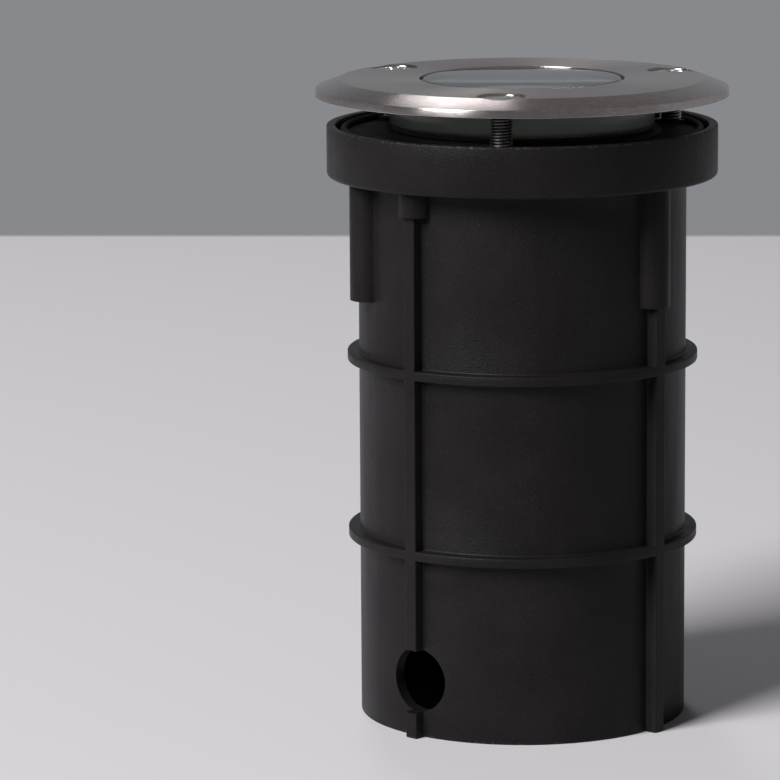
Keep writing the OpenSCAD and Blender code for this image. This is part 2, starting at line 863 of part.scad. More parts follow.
module terminal_block() {
    screw_way_r = wire_hole_d / 2 - 0.2;
    color("#ecebe6")
    difference() {
        for (i = [0 : terminals - 1])
            translate([first_terminal_x + (i - 0.5) * terminal_pitch, block_y, can_floor_z])
                cube([terminal_pitch, block_w, block_h]);
        for (i = [0 : terminals - 1])
            translate([first_terminal_x + i * terminal_pitch, 0, 0]) {
                translate([0, block_y - over, wire_level])
                    rotate([-90, 0, 0])
                        cylinder(d = wire_hole_d, h = block_w + 2 * over, $fn = small_fn);
                for (part = [0.25, 0.75])
                    translate([0, block_y + part * block_w, wire_level])
                        cylinder(r = screw_way_r, h = block_h, $fn = small_fn);
            }
        translate([0, block_mid_y, can_floor_z - over])
            cylinder(r = slim_hole_r + hole_gap, h = block_h + 2 * over, $fn = small_fn);
        translate([0, block_mid_y, can_floor_z + slim_screw_l - block_hole_depth])
            cylinder(d = 1.8 * slim_screw_d + 2 * hole_gap, h = block_h, $fn = small_fn);
    }
}

// One pair of clamping screws for each terminal
module terminal_screws() {
    screw_way_r = wire_hole_d / 2 - 0.2;
    end_z = wire_level + lead_r + seat_gap;
    sunk = 1;
    h = can_floor_z + block_h - sunk - end_z;
    color("#d9b45a")
    for (i = [0 : terminals - 1])
        for (part = [0.25, 0.75])
            translate([first_terminal_x + i * terminal_pitch, block_y + part * block_w, end_z])
                difference() {
                    cylinder(r = screw_way_r - run_gap, h = h, $fn = small_fn);
                    translate([-screw_way_r, -0.3, h - sunk])
                        cube([2 * screw_way_r, 0.6, 2 * sunk]);
                }
}

module block_screw() {
    color("#c4c6c9")
    translate([0, block_mid_y, can_floor_z + slim_screw_l - block_hole_depth])
        pan_screw(slim_screw_d, slim_screw_l);
}

// One lead: down from the holder, round a bend and into the terminal block
module lamp_lead() {
    bend_z = wire_level + lead_bend;
    lead_top_z = holder_z + 2;
    translate([0, lead_y, bend_z])
        cylinder(r = lead_r, h = lead_top_z - bend_z, $fn = small_fn);
    translate([0, lead_y + lead_bend, bend_z])
        rotate([0, -90, 0])
            rotate([0, 0, 180])
                rotate_extrude(angle = 90)
                    translate([lead_bend, 0])
                        circle(r = lead_r, $fn = small_fn);
    translate([0, lead_y + lead_bend, wire_level])
        rotate([-90, 0, 0])
            cylinder(r = lead_r, h = block_y + lead_in - lead_y - lead_bend, $fn = small_fn);
}

module lamp_leads() {
    color("#8f1d1d")
    for (side = [-1, 1])
        translate([side * terminal_pitch / 2, 0, 0])
            lamp_lead();
}

// The earth lead ends in a crimped lug on its pad
module earth_lead() {
    barrel_l = 5;
    barrel_y = floor_pad_d / 2 + 2 - earth_y;
    tongue_w = lug_d / 2;
    color("#4d7a2c")
    translate([last_terminal_x, 0, wire_level]) {
        translate([0, barrel_y, 0])
            rotate([-90, 0, 0])
                cylinder(r = lead_r, h = block_y + lead_in - barrel_y, $fn = small_fn);
        translate([0, barrel_y, 0])
            rotate([-90, 0, 0])
                cylinder(r = lead_r + lug_t / 2, h = barrel_l, $fn = small_fn);
        difference() {
            union() {
                translate([0, -earth_y, -lug_t])
                    cylinder(d = lug_d, h = lug_t, $fn = small_fn);
                translate([-tongue_w / 2, -earth_y, -lug_t])
                    cube([tongue_w, barrel_y + earth_y + 1, lug_t]);
            }
            translate([0, -earth_y, -lug_t - over])
                cylinder(r = small_hole_r + run_gap, h = lug_t + 2 * over, $fn = small_fn);
        }
    }
}

module earth_screw() {
    color("#c4c6c9")
    translate([last_terminal_x, -earth_y, wire_level])
        pan_screw(small_screw_d, small_screw_l);
}

// Cable gland: the body's upper thread goes up through the can's floor into the locknut
module gland_body() {
    upper_l = gland_washer_t + can_floor_t + locknut_h + gland_stub;
    bore_z = gland_end_z + seal_l;
    color("#202022")
    difference() {
        union() {
            translate([0, 0, gland_hex_z])
                hexagon(gland_af, gland_hex_h);
            translate([0, 0, gland_end_z])
                cylinder(r = gland_r, h = gland_thread_l + gland_hex_h + upper_l);
        }
        translate([0, 0, gland_end_z - over])
            cylinder(r = seal_r + run_gap, h = seal_l + over);
        translate([0, 0, bore_z - over])
            cylinder(r = cable_way_r, h = can_floor_z + locknut_h + gland_stub - bore_z + 2 * over);
    }
}

module gland_washer() {
    color("#0d0d0e")
    translate([0, 0, can_z - gland_washer_t])
        ring(gland_af / 2, gland_r + run_gap, gland_washer_t);
}

module gland_locknut() {
    color("#202022")
    translate([0, 0, can_floor_z])
        difference() {
            hexagon(gland_af, locknut_h);
            translate([0, 0, -over])
                cylinder(r = gland_r + run_gap, h = locknut_h + 2 * over);
        }
}

module gland_seal() {
    color("#0d0d0e")
    translate([0, 0, gland_end_z])
        ring(seal_r, cable_d / 2, seal_l);
}

// The cap nut: a hexagon above, a domed end below
module gland_nut() {
    corner_r = gland_af / sqrt(3);
    dome_h = gland_nut_h - gland_nut_hex_h;
    dome_r = gland_af / 2 - 0.4;
    way_r = cable_way_r;
    dome = [for (a = [0 : 10 : 60]) [
        dome_r - (dome_r - way_r - 2) * (1 - cos(a)) * 2,
        dome_h - dome_h * sin(a) / sin(60)
    ]];
    color("#202022")
    translate([0, 0, nut_z])
        difference() {
            union() {
                translate([0, 0, dome_h])
                    hexagon(gland_af, gland_nut_hex_h);
                rotate_extrude()
                    polygon(concat([[0, dome_h + over], [dome_r, dome_h + over]], dome, [[0, 0]]));
            }
            translate([0, 0, gland_end_z - 2 * seat_gap - nut_z])
                cylinder(r = gland_r + run_gap, h = gland_nut_h);
            translate([0, 0, -over])
                cylinder(r = way_r, h = gland_nut_h);
        }
}

sleeve();
housing();
lower_gasket();
glass();
upper_gasket();
trim_ring();
screw_front();
screw_right();
screw_left();
lamp_shell();
lamp_lens();
led_board();
lamp_base();
lamp_pins();
lampholder();
holder_contacts();
holder_bracket();
holder_screws();
bracket_screws();
terminal_block();
terminal_screws();
block_screw();
lamp_leads();
earth_lead();
earth_screw();
gland_body();
gland_washer();
gland_locknut();
gland_seal();
gland_nut();
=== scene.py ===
# Recessed ground spotlight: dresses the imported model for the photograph's view
import math
import bmesh
import bpy
from mathutils import Matrix, Quaternion, Vector


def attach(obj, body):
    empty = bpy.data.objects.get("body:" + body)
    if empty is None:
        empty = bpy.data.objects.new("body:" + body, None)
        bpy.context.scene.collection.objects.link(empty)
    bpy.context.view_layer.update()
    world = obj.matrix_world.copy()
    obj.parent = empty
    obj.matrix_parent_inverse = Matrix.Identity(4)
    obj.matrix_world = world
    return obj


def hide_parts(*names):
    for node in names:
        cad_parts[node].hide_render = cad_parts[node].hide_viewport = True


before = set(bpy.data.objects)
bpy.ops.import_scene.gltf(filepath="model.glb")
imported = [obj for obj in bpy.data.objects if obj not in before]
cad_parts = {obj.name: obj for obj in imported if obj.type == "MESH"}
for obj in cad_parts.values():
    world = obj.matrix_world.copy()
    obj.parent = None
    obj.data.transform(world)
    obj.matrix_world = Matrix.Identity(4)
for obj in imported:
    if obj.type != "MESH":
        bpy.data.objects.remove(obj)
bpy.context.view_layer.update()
scene = bpy.context.scene
mm = 0.001
print("frame loaded:", len(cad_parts), "nodes")


# Shapes: small helpers, sizes in millimetres and angles in degrees

def cosOf(angle):
    return math.cos(math.radians(angle))


def sinOf(angle):
    return math.sin(math.radians(angle))


def around(angle, radius):
    return radius * cosOf(angle), radius * sinOf(angle)


def circle(radius, z, steps):
    turns = [2 * math.pi * i / steps for i in range(steps)]
    return [(radius * math.cos(a), radius * math.sin(a), z) for a in turns]


def quarter(a, b, reachA, reachB, turns=(0, 30, 60, 90)):
    # a quarter round, from (a + reachA, b) at 0 degrees to (a, b + reachB) at 90
    return [(a + reachA * (1 - sinOf(t)), b + reachB * (1 - cosOf(t))) for t in turns]


def climb(low, high, step):
    heights = []
    while low < high:
        heights.append(low)
        low += step
    return heights


def meshPiece(name, points, faces, sharpAngle=32):
    mesh = bpy.data.meshes.new(name)
    mesh.from_pydata([(x * mm, y * mm, z * mm) for x, y, z in points], [], faces)
    piece = bpy.data.objects.new(name, mesh)
    scene.collection.objects.link(piece)
    cleanMesh(piece, sharpAngle)
    return piece


def cleanMesh(piece, sharpAngle=32):
    # merges doubled points, turns all faces outwards and shades smooth up to the sharp angle
    shape = bmesh.new()
    shape.from_mesh(piece.data)
    bmesh.ops.remove_doubles(shape, verts=shape.verts, dist=2e-6)
    bmesh.ops.dissolve_degenerate(shape, edges=shape.edges, dist=1e-6)
    bmesh.ops.recalc_face_normals(shape, faces=shape.faces)
    for face in shape.faces:
        face.smooth = True
    shape.to_mesh(piece.data)
    shape.free()
    piece.data.set_sharp_from_angle(angle=math.radians(sharpAngle))


def softened(outline, steps=4):
    # outline of (x, y, corner radius), closed; returns it with round corners
    made = []
    count = len(outline)
    for i, (x, y, radius) in enumerate(outline):
        here = Vector((x, y))
        if radius <= 0:
            made.append((x, y))
            continue
        before = Vector(outline[i - 1][:2]) - here
        after = Vector(outline[(i + 1) % count][:2]) - here
        half = before.angle(after) / 2
        if half > math.radians(89):
            made.append((x, y))
            continue
        reach = min(radius / math.tan(half), before.length * 0.49, after.length * 0.49)
        radius = reach * math.tan(half)
        centre = here + (before.normalized() + after.normalized()).normalized() * (radius / math.sin(half))
        first = here + before.normalized() * reach - centre
        last = here + after.normalized() * reach - centre
        start = math.atan2(first.y, first.x)
        turn = (math.atan2(last.y, last.x) - start + math.pi) % (2 * math.pi) - math.pi
        for s in range(steps + 1):
            a = start + turn * s / steps
            made.append((centre.x + radius * math.cos(a), centre.y + radius * math.sin(a)))
    return made


def turned(name, outline, steps=192, sharpAngle=32):
    # closed outline of (radius, height), turned round the Z axis
    points, faces, count = [], [], len(outline)
    for s in range(steps):
        a = 2 * math.pi * s / steps
        points += [(r * math.cos(a), r * math.sin(a), z) for r, z in outline]
        t = (s + 1) % steps
        for k in range(count):
            n = (k + 1) % count
            faces.append((s * count + k, t * count + k, t * count + n, s * count + n))
    return meshPiece(name, points, faces, sharpAngle)


def flatRing(name, near, far, low, high, soft, steps):
    corners = [(near, low, soft), (far, low, soft), (far, high, soft), (near, high, soft)]
    return turned(name, softened(corners, 3), steps)


def cutter(profile, steps=72, tip=0):
    # a drill from its (radius, height) points, closed on the axis; its tip can be pointed
    low, high = profile[0][1] - tip, profile[-1][1]
    return turned("drill", [(0, low)] + profile + [(0, high)], steps)


def skin(rings, steps):
    # faces between rings of points that follow one another
    faces = []
    for k in range(rings - 1):
        for i in range(steps):
            j = (i + 1) % steps
            faces.append((k * steps + i, k * steps + j, (k + 1) * steps + j, (k + 1) * steps + i))
    return faces


def stacked(name, layers, sharpAngle=32):
    # closed rings of equal point counts, bottom to top, with both ends filled
    count = len(layers[0])
    points = [p for ring in layers for p in ring]
    top = (len(layers) - 1) * count
    faces = [tuple(reversed(range(count)))] + skin(len(layers), count) + [tuple(range(top, top + count))]
    return meshPiece(name, points, faces, sharpAngle)


def threadRing(z, pitch, steps, radiusOf):
    # one ring of points on a thread: radiusOf takes the wave, 0 at the root and 1 at the crest
    points = []
    for i in range(steps):
        a = 2 * math.pi * i / steps
        r = radiusOf(0.5 + 0.5 * math.cos(2 * math.pi * (z / pitch - i / steps)))
        points.append((r * math.cos(a), r * math.sin(a), z))
    return points


def settle(piece):
    # applies the modifiers that a piece carries
    graph = bpy.context.evaluated_depsgraph_get()
    made = bpy.data.meshes.new_from_object(piece.evaluated_get(graph))
    piece.modifiers.clear()
    spent = piece.data
    piece.data = made
    bpy.data.meshes.remove(spent)


def work(piece, tool, how="DIFFERENCE", sharpAngle=32):
    # cuts a tool out of a piece, or joins it on
    step = piece.modifiers.new("shape", "BOOLEAN")
    step.operation, step.solver, step.object = how, "EXACT", tool
    settle(piece)
    bpy.data.objects.remove(tool)
    cleanMesh(piece, sharpAngle)


def joined(pieces):
    # several separate closed meshes as one object
    whole = bmesh.new()
    for piece in pieces:
        part = piece.data.copy()
        part.transform(piece.matrix_world)
        whole.from_mesh(part)
        bpy.data.meshes.remove(part)
    whole.to_mesh(pieces[0].data)
    whole.free()
    pieces[0].matrix_world.identity()
    for piece in pieces[1:]:
        bpy.data.objects.remove(piece)
    return pieces[0]


def shifted(piece, x=0, y=0, z=0, turn=0, tip=0):
    # moves a fresh mesh: tip leans +Z over to +X, and turn is round Z
    piece.data.transform(Matrix.Translation((x * mm, y * mm, z * mm))
                         @ Matrix.Rotation(math.radians(turn), 4, "Z") @ Matrix.Rotation(math.radians(tip), 4, "Y"))
    return piece


def dress(piece, body, slotName, finish, *nodes):
    # puts the finish on and hands the piece to its body
    piece.data.materials.clear()
    piece.data.materials.append(finish)
    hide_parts(*nodes)
    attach(piece, body)


# Finishes: small helpers for the shader nodes

def plug(value, socket):
    # the value is another socket, a number, a vector or the hex code of a colour
    if isinstance(value, bpy.types.NodeSocket):
        socket.id_data.links.new(value, socket)
    else:
        socket.default_value = rgb(value) if isinstance(value, str) else value


def add(tree, kind, options=None, inputs=None):
    node = tree.nodes.new("ShaderNode" + kind)
    for key, value in (options or {}).items():
        setattr(node, key, value)
    for key, value in (inputs or {}).items():
        plug(value, node.inputs[key])
    return node


def treeOf(*values):
    # the node tree of the first socket among the values
    return next(v.id_data for v in values if isinstance(v, bpy.types.NodeSocket))


def newFinish(name, values):
    # a material with its even values set, and the place on the piece
    finish = bpy.data.materials.new(name)
    finish.use_nodes = True
    return wire(finish, values), place(finish.node_tree)


def wire(finish, values):
    # values or sockets for the shader, by the names of its inputs
    shader = finish.node_tree.nodes["Principled BSDF"]
    for name, value in values.items():
        plug(value, shader.inputs[name])
    return finish


def coat(finish, colour, roughness, normal):
    return wire(finish, {"Base Color": colour, "Roughness": roughness, "Normal": normal})


def place(tree):
    return add(tree, "TexCoord").outputs["Object"]


def calc(operation, a, b=0.0, clamp=False):
    return add(treeOf(a, b), "Math", {"operation": operation, "use_clamp": clamp}, {0: a, 1: b}).outputs[0]


def times(a, b):
    return calc("MULTIPLY", a, b)


def plus(a, b, clamp=False):
    return calc("ADD", a, b, clamp)


def shared(first, second, share):
    # the first value by its share, and the second by the rest
    return plus(times(first, share), times(second, 1 - share))


def grain(where, scale, detail=2.0, rough=0.5):
    inputs = {"Vector": where, "Scale": scale, "Detail": detail, "Roughness": rough}
    return add(treeOf(where), "TexNoise", None, inputs).outputs["Fac"]


def between(value, low, high, toLow=0.0, toHigh=1.0):
    limits = {"Value": value, "From Min": low, "From Max": high, "To Min": toLow, "To Max": toHigh}
    return add(treeOf(value), "MapRange", {"interpolation_type": "SMOOTHSTEP"}, limits).outputs[0]


def varied(noise, limits):
    # noise keeps near its middle, so that part of its range leads from one limit to the other
    return between(noise, 0.3, 0.7, *limits)


def blend(factor, first, second):
    # sockets 6 and 7 are the two colours, and output 2 their blend
    return add(treeOf(factor), "Mix", {"data_type": "RGBA"}, {0: factor, 6: first, 7: second}).outputs[2]


def relief(height, distance, strength=1.0, under=None):
    inputs = {"Height": height, "Distance": distance, "Strength": strength}
    if under is not None:
        inputs["Normal"] = under
    return add(treeOf(height), "Bump", None, inputs).outputs["Normal"]


def axes(where):
    return tuple(add(treeOf(where), "SeparateXYZ", None, {"Vector": where}).outputs)


def roundAxis(where):
    # distance from the Z axis, the direction as a unit pair, and the height
    x, y, z = axes(where)
    r = calc("SQRT", plus(times(x, x), times(y, y)))
    safe = calc("MAXIMUM", r, 1e-5)
    return r, calc("DIVIDE", x, safe), calc("DIVIDE", y, safe), z


def turnedLines(where, fine, along):
    # places drawn out round the axis, for the lines that a lathe or a brush leaves
    r, cx, cy, z = roundAxis(where)
    lines = {"X": times(cx, along), "Y": times(cy, along), "Z": times(plus(r, z), fine)}
    return add(treeOf(where), "CombineXYZ", None, lines).outputs[0]


def rgb(code):
    # a colour from its hex code, in linear light
    parts = [int(code[i:i + 2], 16) / 255 for i in (0, 2, 4)]
    return tuple(c / 12.92 if c <= 0.04045 else ((c + 0.055) / 1.055) ** 2.4 for c in parts) + (1.0,)


def plainFinish(name, look, values):
    # soft clouds lead from one colour to the other and vary the roughness, under a fine grain;
    # change narrows the clouds' range for the colour
    finish, where = newFinish(name, values)
    cloud, fine = grain(where, *look["clouds"]), grain(where, *look["grain"])
    share = between(cloud, *look["change"]) if "change" in look else cloud
    rough = varied(cloud, look["roughness"])
    return coat(finish, blend(share, *look["colours"]), rough, relief(fine, *look["relief"]))


print("helpers ready")


# Sleeve: moulded black plastic

sleeveSizes = {
    "height": 159.0, "tube": 43.7, "bore": 40.3,
    "collar": 52.0, "collarBore": 49.6, "collarFoot": 145.5, "floor": 148.0,
    "collarRound": 1.0, "rimRound": 0.35, "floorRound": 0.5, "fillet": 0.45, "edge": 0.28,
    "ribReach": 46.8, "ribWidth": 3.6, "ribDirections": (231, 321, 51, 141),
    "ringRibs": (48.0, 96.0), "ringRibHeight": 2.5,
    "bossDirections": (201, 321, 81), "bossRadius": 4.7, "bossCircle": 43.3, "bossOffset": 0.4, "bossFoot": 114.0,
    "screwHole": 2.5, "screwHoleFoot": 120.0, "drillTip": 1.2, "screwMouth": 0.5,
    "padDirection": 231, "padRadius": 4.5, "padCentre": 43.9, "padFoot": 138.8,
    "cableDirection": 231, "cableRadius": 8.5, "cableHeight": 15.3, "cableDrill": (37, 50), "cableBevel": 0.22,
    "angleStep": 1.5, "bossMiddle": 126.0, "outerRows": (6.9, 15.3, 24.0, 36.0),
    "innerRows": (98.0, 73.0, 49.0, 24.0, 15.3, 7.0),
}
sleeveLook = {
    "colour": "161415", "greyer": "1b191a", "scuff": "8c8a88", "specular": 0.115, "roughness": (0.36, 0.47),
    "cloudSize": 45, "streakSize": 220, "streakStretch": (1, 1, 0.12),
    "grainSize": 1900, "grainDepth": 0.00016, "grainStrength": 0.75,
    "mottleSize": 620, "mottleDepth": 0.00012, "mottleStrength": 0.12,
    "speckSize": 2900, "speckRange": (0.60, 0.78), "speckAmount": 0.05,
    "wearSize": 900, "wearRange": (0.52, 0.70), "wearAmount": 0.30,
    "rimWear": (0.1582, 0.1590), "footWear": (0.0009, 0.0),
}


def polar(x, u):
    return math.degrees(math.atan2(u, x)), math.hypot(x, u)


def mirrored(half):
    # a feature's outline, from its middle outwards, made symmetric and sorted by angle
    return sorted(half + [(-a, r) for a, r in half if a > 1e-9])


def ribOutline(s):
    w, f, e = s["ribWidth"] / 2, s["fillet"], s["edge"]
    half = [polar(s["ribReach"], w * k) for k in (0, 0.4, 0.7)]
    half += [polar(x, u) for x, u in quarter(s["ribReach"], w, -e, -e, (90, 60, 30, 0))]
    half += [(math.degrees(math.asin(u / r)), r) for u, r in quarter(w, s["tube"], f, f, (90, 65, 40, 20, 0))]
    return mirrored(half)


def outerBossOutline(centre, r, s):
    # a round boss: its arc down to the tube, then a small fillet
    half = [polar(centre + r * cosOf(t), r * sinOf(t)) for t in range(0, 90, 8)]
    half = [p for p in half if p[1] > s["tube"] + 0.35]
    root = math.degrees(math.asin(r / s["tube"]))
    return mirrored(half + [(root, s["tube"] + 0.22), (root + 0.14, s["tube"] + 0.07), (root + 0.4, s["tube"])])


def innerBossOutline(s, steps=7):
    # the arc from its nearest point to where it meets the bore
    r, c = s["bossRadius"], s["bossCircle"]
    meet = math.degrees(math.acos((c * c + r * r - s["bore"] ** 2) / (2 * c * r)))
    return mirrored([polar(c - r * cosOf(meet * k / steps), r * sinOf(meet * k / steps)) for k in range(steps + 1)])


def reachAt(outline, angle, direction, missing):
    # how far a feature that faces a direction reaches at an angle
    local = (angle - direction + 180) % 360 - 180
    if local < outline[0][0] - 1e-6 or local > outline[-1][0] + 1e-6:
        return missing
    for (a0, r0), (a1, r1) in zip(outline, outline[1:]):
        if local <= a1 + 1e-7:
            return r0 if a1 - a0 < 1e-9 else r0 + (r1 - r0) * max(0.0, min(1.0, (local - a0) / (a1 - a0)))
    return outline[-1][1]


def ringRibRows(z, s):
    # the outline of one ring rib, from below it to above it
    f, e = s["fillet"], s["edge"]
    rows = quarter(z, s["tube"], -f, f) + [(up, r) for r, up in quarter(s["ribReach"], z, -e, e)]
    return rows + [(2 * z + s["ringRibHeight"] - up, r) for up, r in reversed(rows)]


def outerRows(s):
    # rows of height, tube radius, and how far ribs, bosses and pad are drawn in there
    tube, edge, f = s["tube"], s["edge"], s["fillet"]
    absent = 99  # drawn in so far that it doesn't show
    soft = [(edge * back, edge * up) for back, up in ((1.0, 0.0), (0.29, 0.29), (0.0, 1.0))]
    rows = [(up, tube - back, back, absent, absent) for back, up in soft]
    rows += [(z, tube, 0, absent, absent) for z in s["outerRows"]]
    for ribFoot in s["ringRibs"]:
        rows += [(z, r, 0, absent, absent) for z, r in ringRibRows(ribFoot, s) + [(ribFoot + 20, tube)]]
    rows = [row for row in rows if row[0] < s["bossFoot"] - 1] + [(s["bossFoot"], tube, 0, absent, absent)]
    rows += [(s["bossFoot"] + up, tube, 0, back, absent) for back, up in soft]
    rows += [(z, tube, 0, 0, absent) for z in (s["bossMiddle"], s["padFoot"])]
    rows += [(s["padFoot"] + up, tube, 0, 0, back) for back, up in soft]
    return rows + [(z, r, 0, 0, 0) for z, r in quarter(s["collarFoot"], tube, -f, f, (0, 35, 65, 90))]


def innerRows(s):
    # over the collar and down the bore: height, radius (None is the bore with its bosses), and what is added
    high, floor, edge, bore = s["height"], s["floor"], s["edge"], s["bore"]
    k, e, f = s["collarRound"], s["rimRound"], s["floorRound"]
    rows = [(z, r) for r, z in quarter(s["collar"], s["collarFoot"], -k, k, (0, 22, 45, 67, 90))]
    rows += [(high - 4, s["collar"])] + quarter(high, s["collar"], -e, -e)
    rows += quarter(high, s["collarBore"], -e, e, (90, 60, 30, 0)) + quarter(floor, s["collarBore"], f, -f)
    rows = [(z, r, 0) for z, r in rows]
    rows += [(floor - edge * (1 - up), None, edge * up) for up in (1.0, 0.3, 0.0)]
    rows += [(s["bossMiddle"], None, 0), (s["bossFoot"], None, 0)]
    rows += [(z, bore, 0) for z in (s["bossFoot"], *s["innerRows"])]
    return rows + [(edge * (1 - out), bore, edge * out) for out in (0.0, 0.7, 1.0)]


def sleeveShell(s):
    rib, innerBoss = ribOutline(s), innerBossOutline(s)
    boss = outerBossOutline(s["bossCircle"] + s["bossOffset"], s["bossRadius"], s)
    pad = outerBossOutline(s["padCentre"], s["padRadius"], s)
    features = [(rib, d) for d in s["ribDirections"]] + [(boss, d) for d in s["bossDirections"]]
    features += [(pad, s["padDirection"])] + [(innerBoss, d) for d in s["bossDirections"]]
    fine = sorted({round((a + d) % 360, 5) for outline, d in features for a, r in outline})
    even = [i * s["angleStep"] for i in range(round(360 / s["angleStep"]))]
    angles = sorted(fine + [a for a in even if min(abs((a - b + 180) % 360 - 180) for b in fine) > 0.25])
    outside, inside = outerRows(s), innerRows(s)
    points, faces, count = [], [], len(outside) + len(inside)
    for i, angle in enumerate(angles):
        ribs = max(reachAt(rib, angle, d, 0) for d in s["ribDirections"])
        bosses = max(reachAt(boss, angle, d, 0) for d in s["bossDirections"])
        pads = reachAt(pad, angle, s["padDirection"], 0)
        inner = min(s["bore"], *(reachAt(innerBoss, angle, d, 99) for d in s["bossDirections"]))
        for z, r, ribIn, bossIn, padIn in outside:
            points.append((*around(angle, max(r, ribs - ribIn, bosses - bossIn, pads - padIn)), z))
        for z, r, more in inside:
            points.append((*around(angle, (inner if r is None else r) + more), z))
        j = (i + 1) % len(angles)
        for n in range(count):
            m = (n + 1) % count
            faces.append((i * count + n, j * count + n, j * count + m, i * count + m))
    return meshPiece("sleeve_moulding", points, faces)


def sleevePiece(s):
    piece = sleeveShell(s)
    hole, floor = s["screwHole"], s["floor"]
    mouth = hole + s["screwMouth"]
    for direction in s["bossDirections"]:
        x, y = around(direction, s["bossCircle"])
        profile = [(hole, s["screwHoleFoot"]), (hole, floor - 0.4), (mouth, floor + 0.1), (mouth, floor + 1)]
        work(piece, shifted(cutter(profile, 40, s["drillTip"]), x, y))
    drill = cutter([(s["cableRadius"], z) for z in s["cableDrill"]], 96)
    shifted(drill, tip=90)
    shifted(drill, z=s["cableHeight"], turn=s["cableDirection"])
    work(piece, drill)
    softenHole(piece, s)
    return piece


def softenHole(piece, s):
    # a narrow bevel round both rims of the cable hole
    away = Vector((*around(s["cableDirection"], 1.0), 0))
    middle = Vector((0, 0, s["cableHeight"] * mm))
    rim = s["cableRadius"] * mm

    def onWall(point):
        side = point - middle
        side -= away * side.dot(away)
        return abs(side.length - rim) < 3e-6 and point.dot(away) > 0

    piece.data.attributes.new("bevel_weight_edge", "FLOAT", "EDGE")
    shape = bmesh.new()
    shape.from_mesh(piece.data)
    layer = shape.edges.layers.float.get("bevel_weight_edge")
    for edge in shape.edges:
        a, b = edge.verts
        if onWall(a.co) and onWall(b.co) and edge.calc_face_angle(0) > 0.6:
            edge[layer] = 1.0
    shape.to_mesh(piece.data)
    shape.free()
    step = piece.modifiers.new("rim", "BEVEL")
    step.limit_method, step.width, step.segments = "WEIGHT", s["cableBevel"] * mm, 2
    settle(piece)
    cleanMesh(piece)


def blackMoulding(look):
    finish, where = newFinish("moulded_black", {"Specular IOR Level": look["specular"], "IOR": 1.5})
    cloud = grain(where, look["cloudSize"], 4, 0.6)
    fine = grain(where, look["grainSize"], 3, 0.6)
    drawn = add(finish.node_tree, "Mapping", None, {"Vector": where, "Scale": look["streakStretch"]}).outputs[0]
    streak = grain(drawn, look["streakSize"], 4, 0.65)
    colour = blend(between(cloud, 0.35, 0.7), look["colour"], look["greyer"])
    # pale dust and rubbed specks, denser on the upper rim and at the foot
    z = axes(where)[2]
    specks = between(grain(where, look["speckSize"], 1, 0.4), *look["speckRange"])
    patches = between(grain(where, look["wearSize"], 3, 0.7), *look["wearRange"])
    rimWear, footWear = between(z, *look["rimWear"]), between(z, *look["footWear"])
    wear = times(plus(rimWear, footWear), patches)
    marks = plus(times(specks, look["speckAmount"]), times(wear, look["wearAmount"]), True)
    rough = varied(shared(streak, fine, 0.6), look["roughness"])
    bumps = relief(fine, look["grainDepth"], look["grainStrength"])
    mottle = grain(where, look["mottleSize"], 3, 0.6)
    bumps = relief(mottle, look["mottleDepth"], look["mottleStrength"], bumps)
    return coat(finish, blend(marks, colour, look["scuff"]), rough, bumps)


sleeve = sleevePiece(sleeveSizes)
dress(sleeve, "sleeve", "moulded_black", blackMoulding(sleeveLook), "sleeve")
print("sleeve made:", len(sleeve.data.vertices), "points")


# Trim ring: turned stainless steel

trimSizes = {
    "outer": 55.0, "opening": 27.2, "bottom": 166.8, "top": 171.2, "rim": 168.8, "flat": 48.5,
    "recess": 35.55, "recessTop": 169.4, "seat": 6.3, "clear": 3.3, "coneFoot": 166.7, "coneTop": 169.7,
    "screwCircle": 43.3, "lean": 0.32, "mouth": 0.3,
    "edge": 0.12, "bevelEdge": 0.25, "openingEdge": 0.16, "recessEdge": 0.15,
}
trimLook = {
    "colour": "c3bbb9", "darker": "aba4a2", "roughness": (0.19, 0.23), "lines": 3400, "lineDepth": 0.0000035,
    "anisotropy": 0.8,
}
brushLook = {
    "hairLength": 26.0, "bandLength": 3.0, "bandCoarser": 9, "bandShare": 0.25, "smearSize": 60, "turn": 0.25,
}
screwDirections = {"screw_front": 263, "screw_right": 23, "screw_left": 143}


def trimPiece(s):
    piece = turned("trim_plate", softened([
        (s["opening"], s["recessTop"], s["recessEdge"]), (s["recess"], s["recessTop"], 0),
        (s["recess"], s["bottom"], s["edge"]), (s["outer"], s["bottom"], s["edge"]),
        (s["outer"] - s["lean"], s["rim"], s["edge"]), (s["flat"], s["top"], s["bevelEdge"]),
        (s["opening"], s["top"], s["openingEdge"]),
    ], 4), 320)
    clear, seat, mouth, top = s["clear"], s["seat"], s["mouth"], s["top"]
    for direction in screwDirections.values():
        x, y = around(direction, s["screwCircle"])
        sink = cutter([(clear, s["bottom"] - 1), (clear, s["coneFoot"]), (seat, s["coneTop"]), (seat, top - mouth),
                       (seat + mouth * 2, top + mouth), (seat + mouth * 2, top + 1)])
        work(piece, shifted(sink, x, y))
    return piece


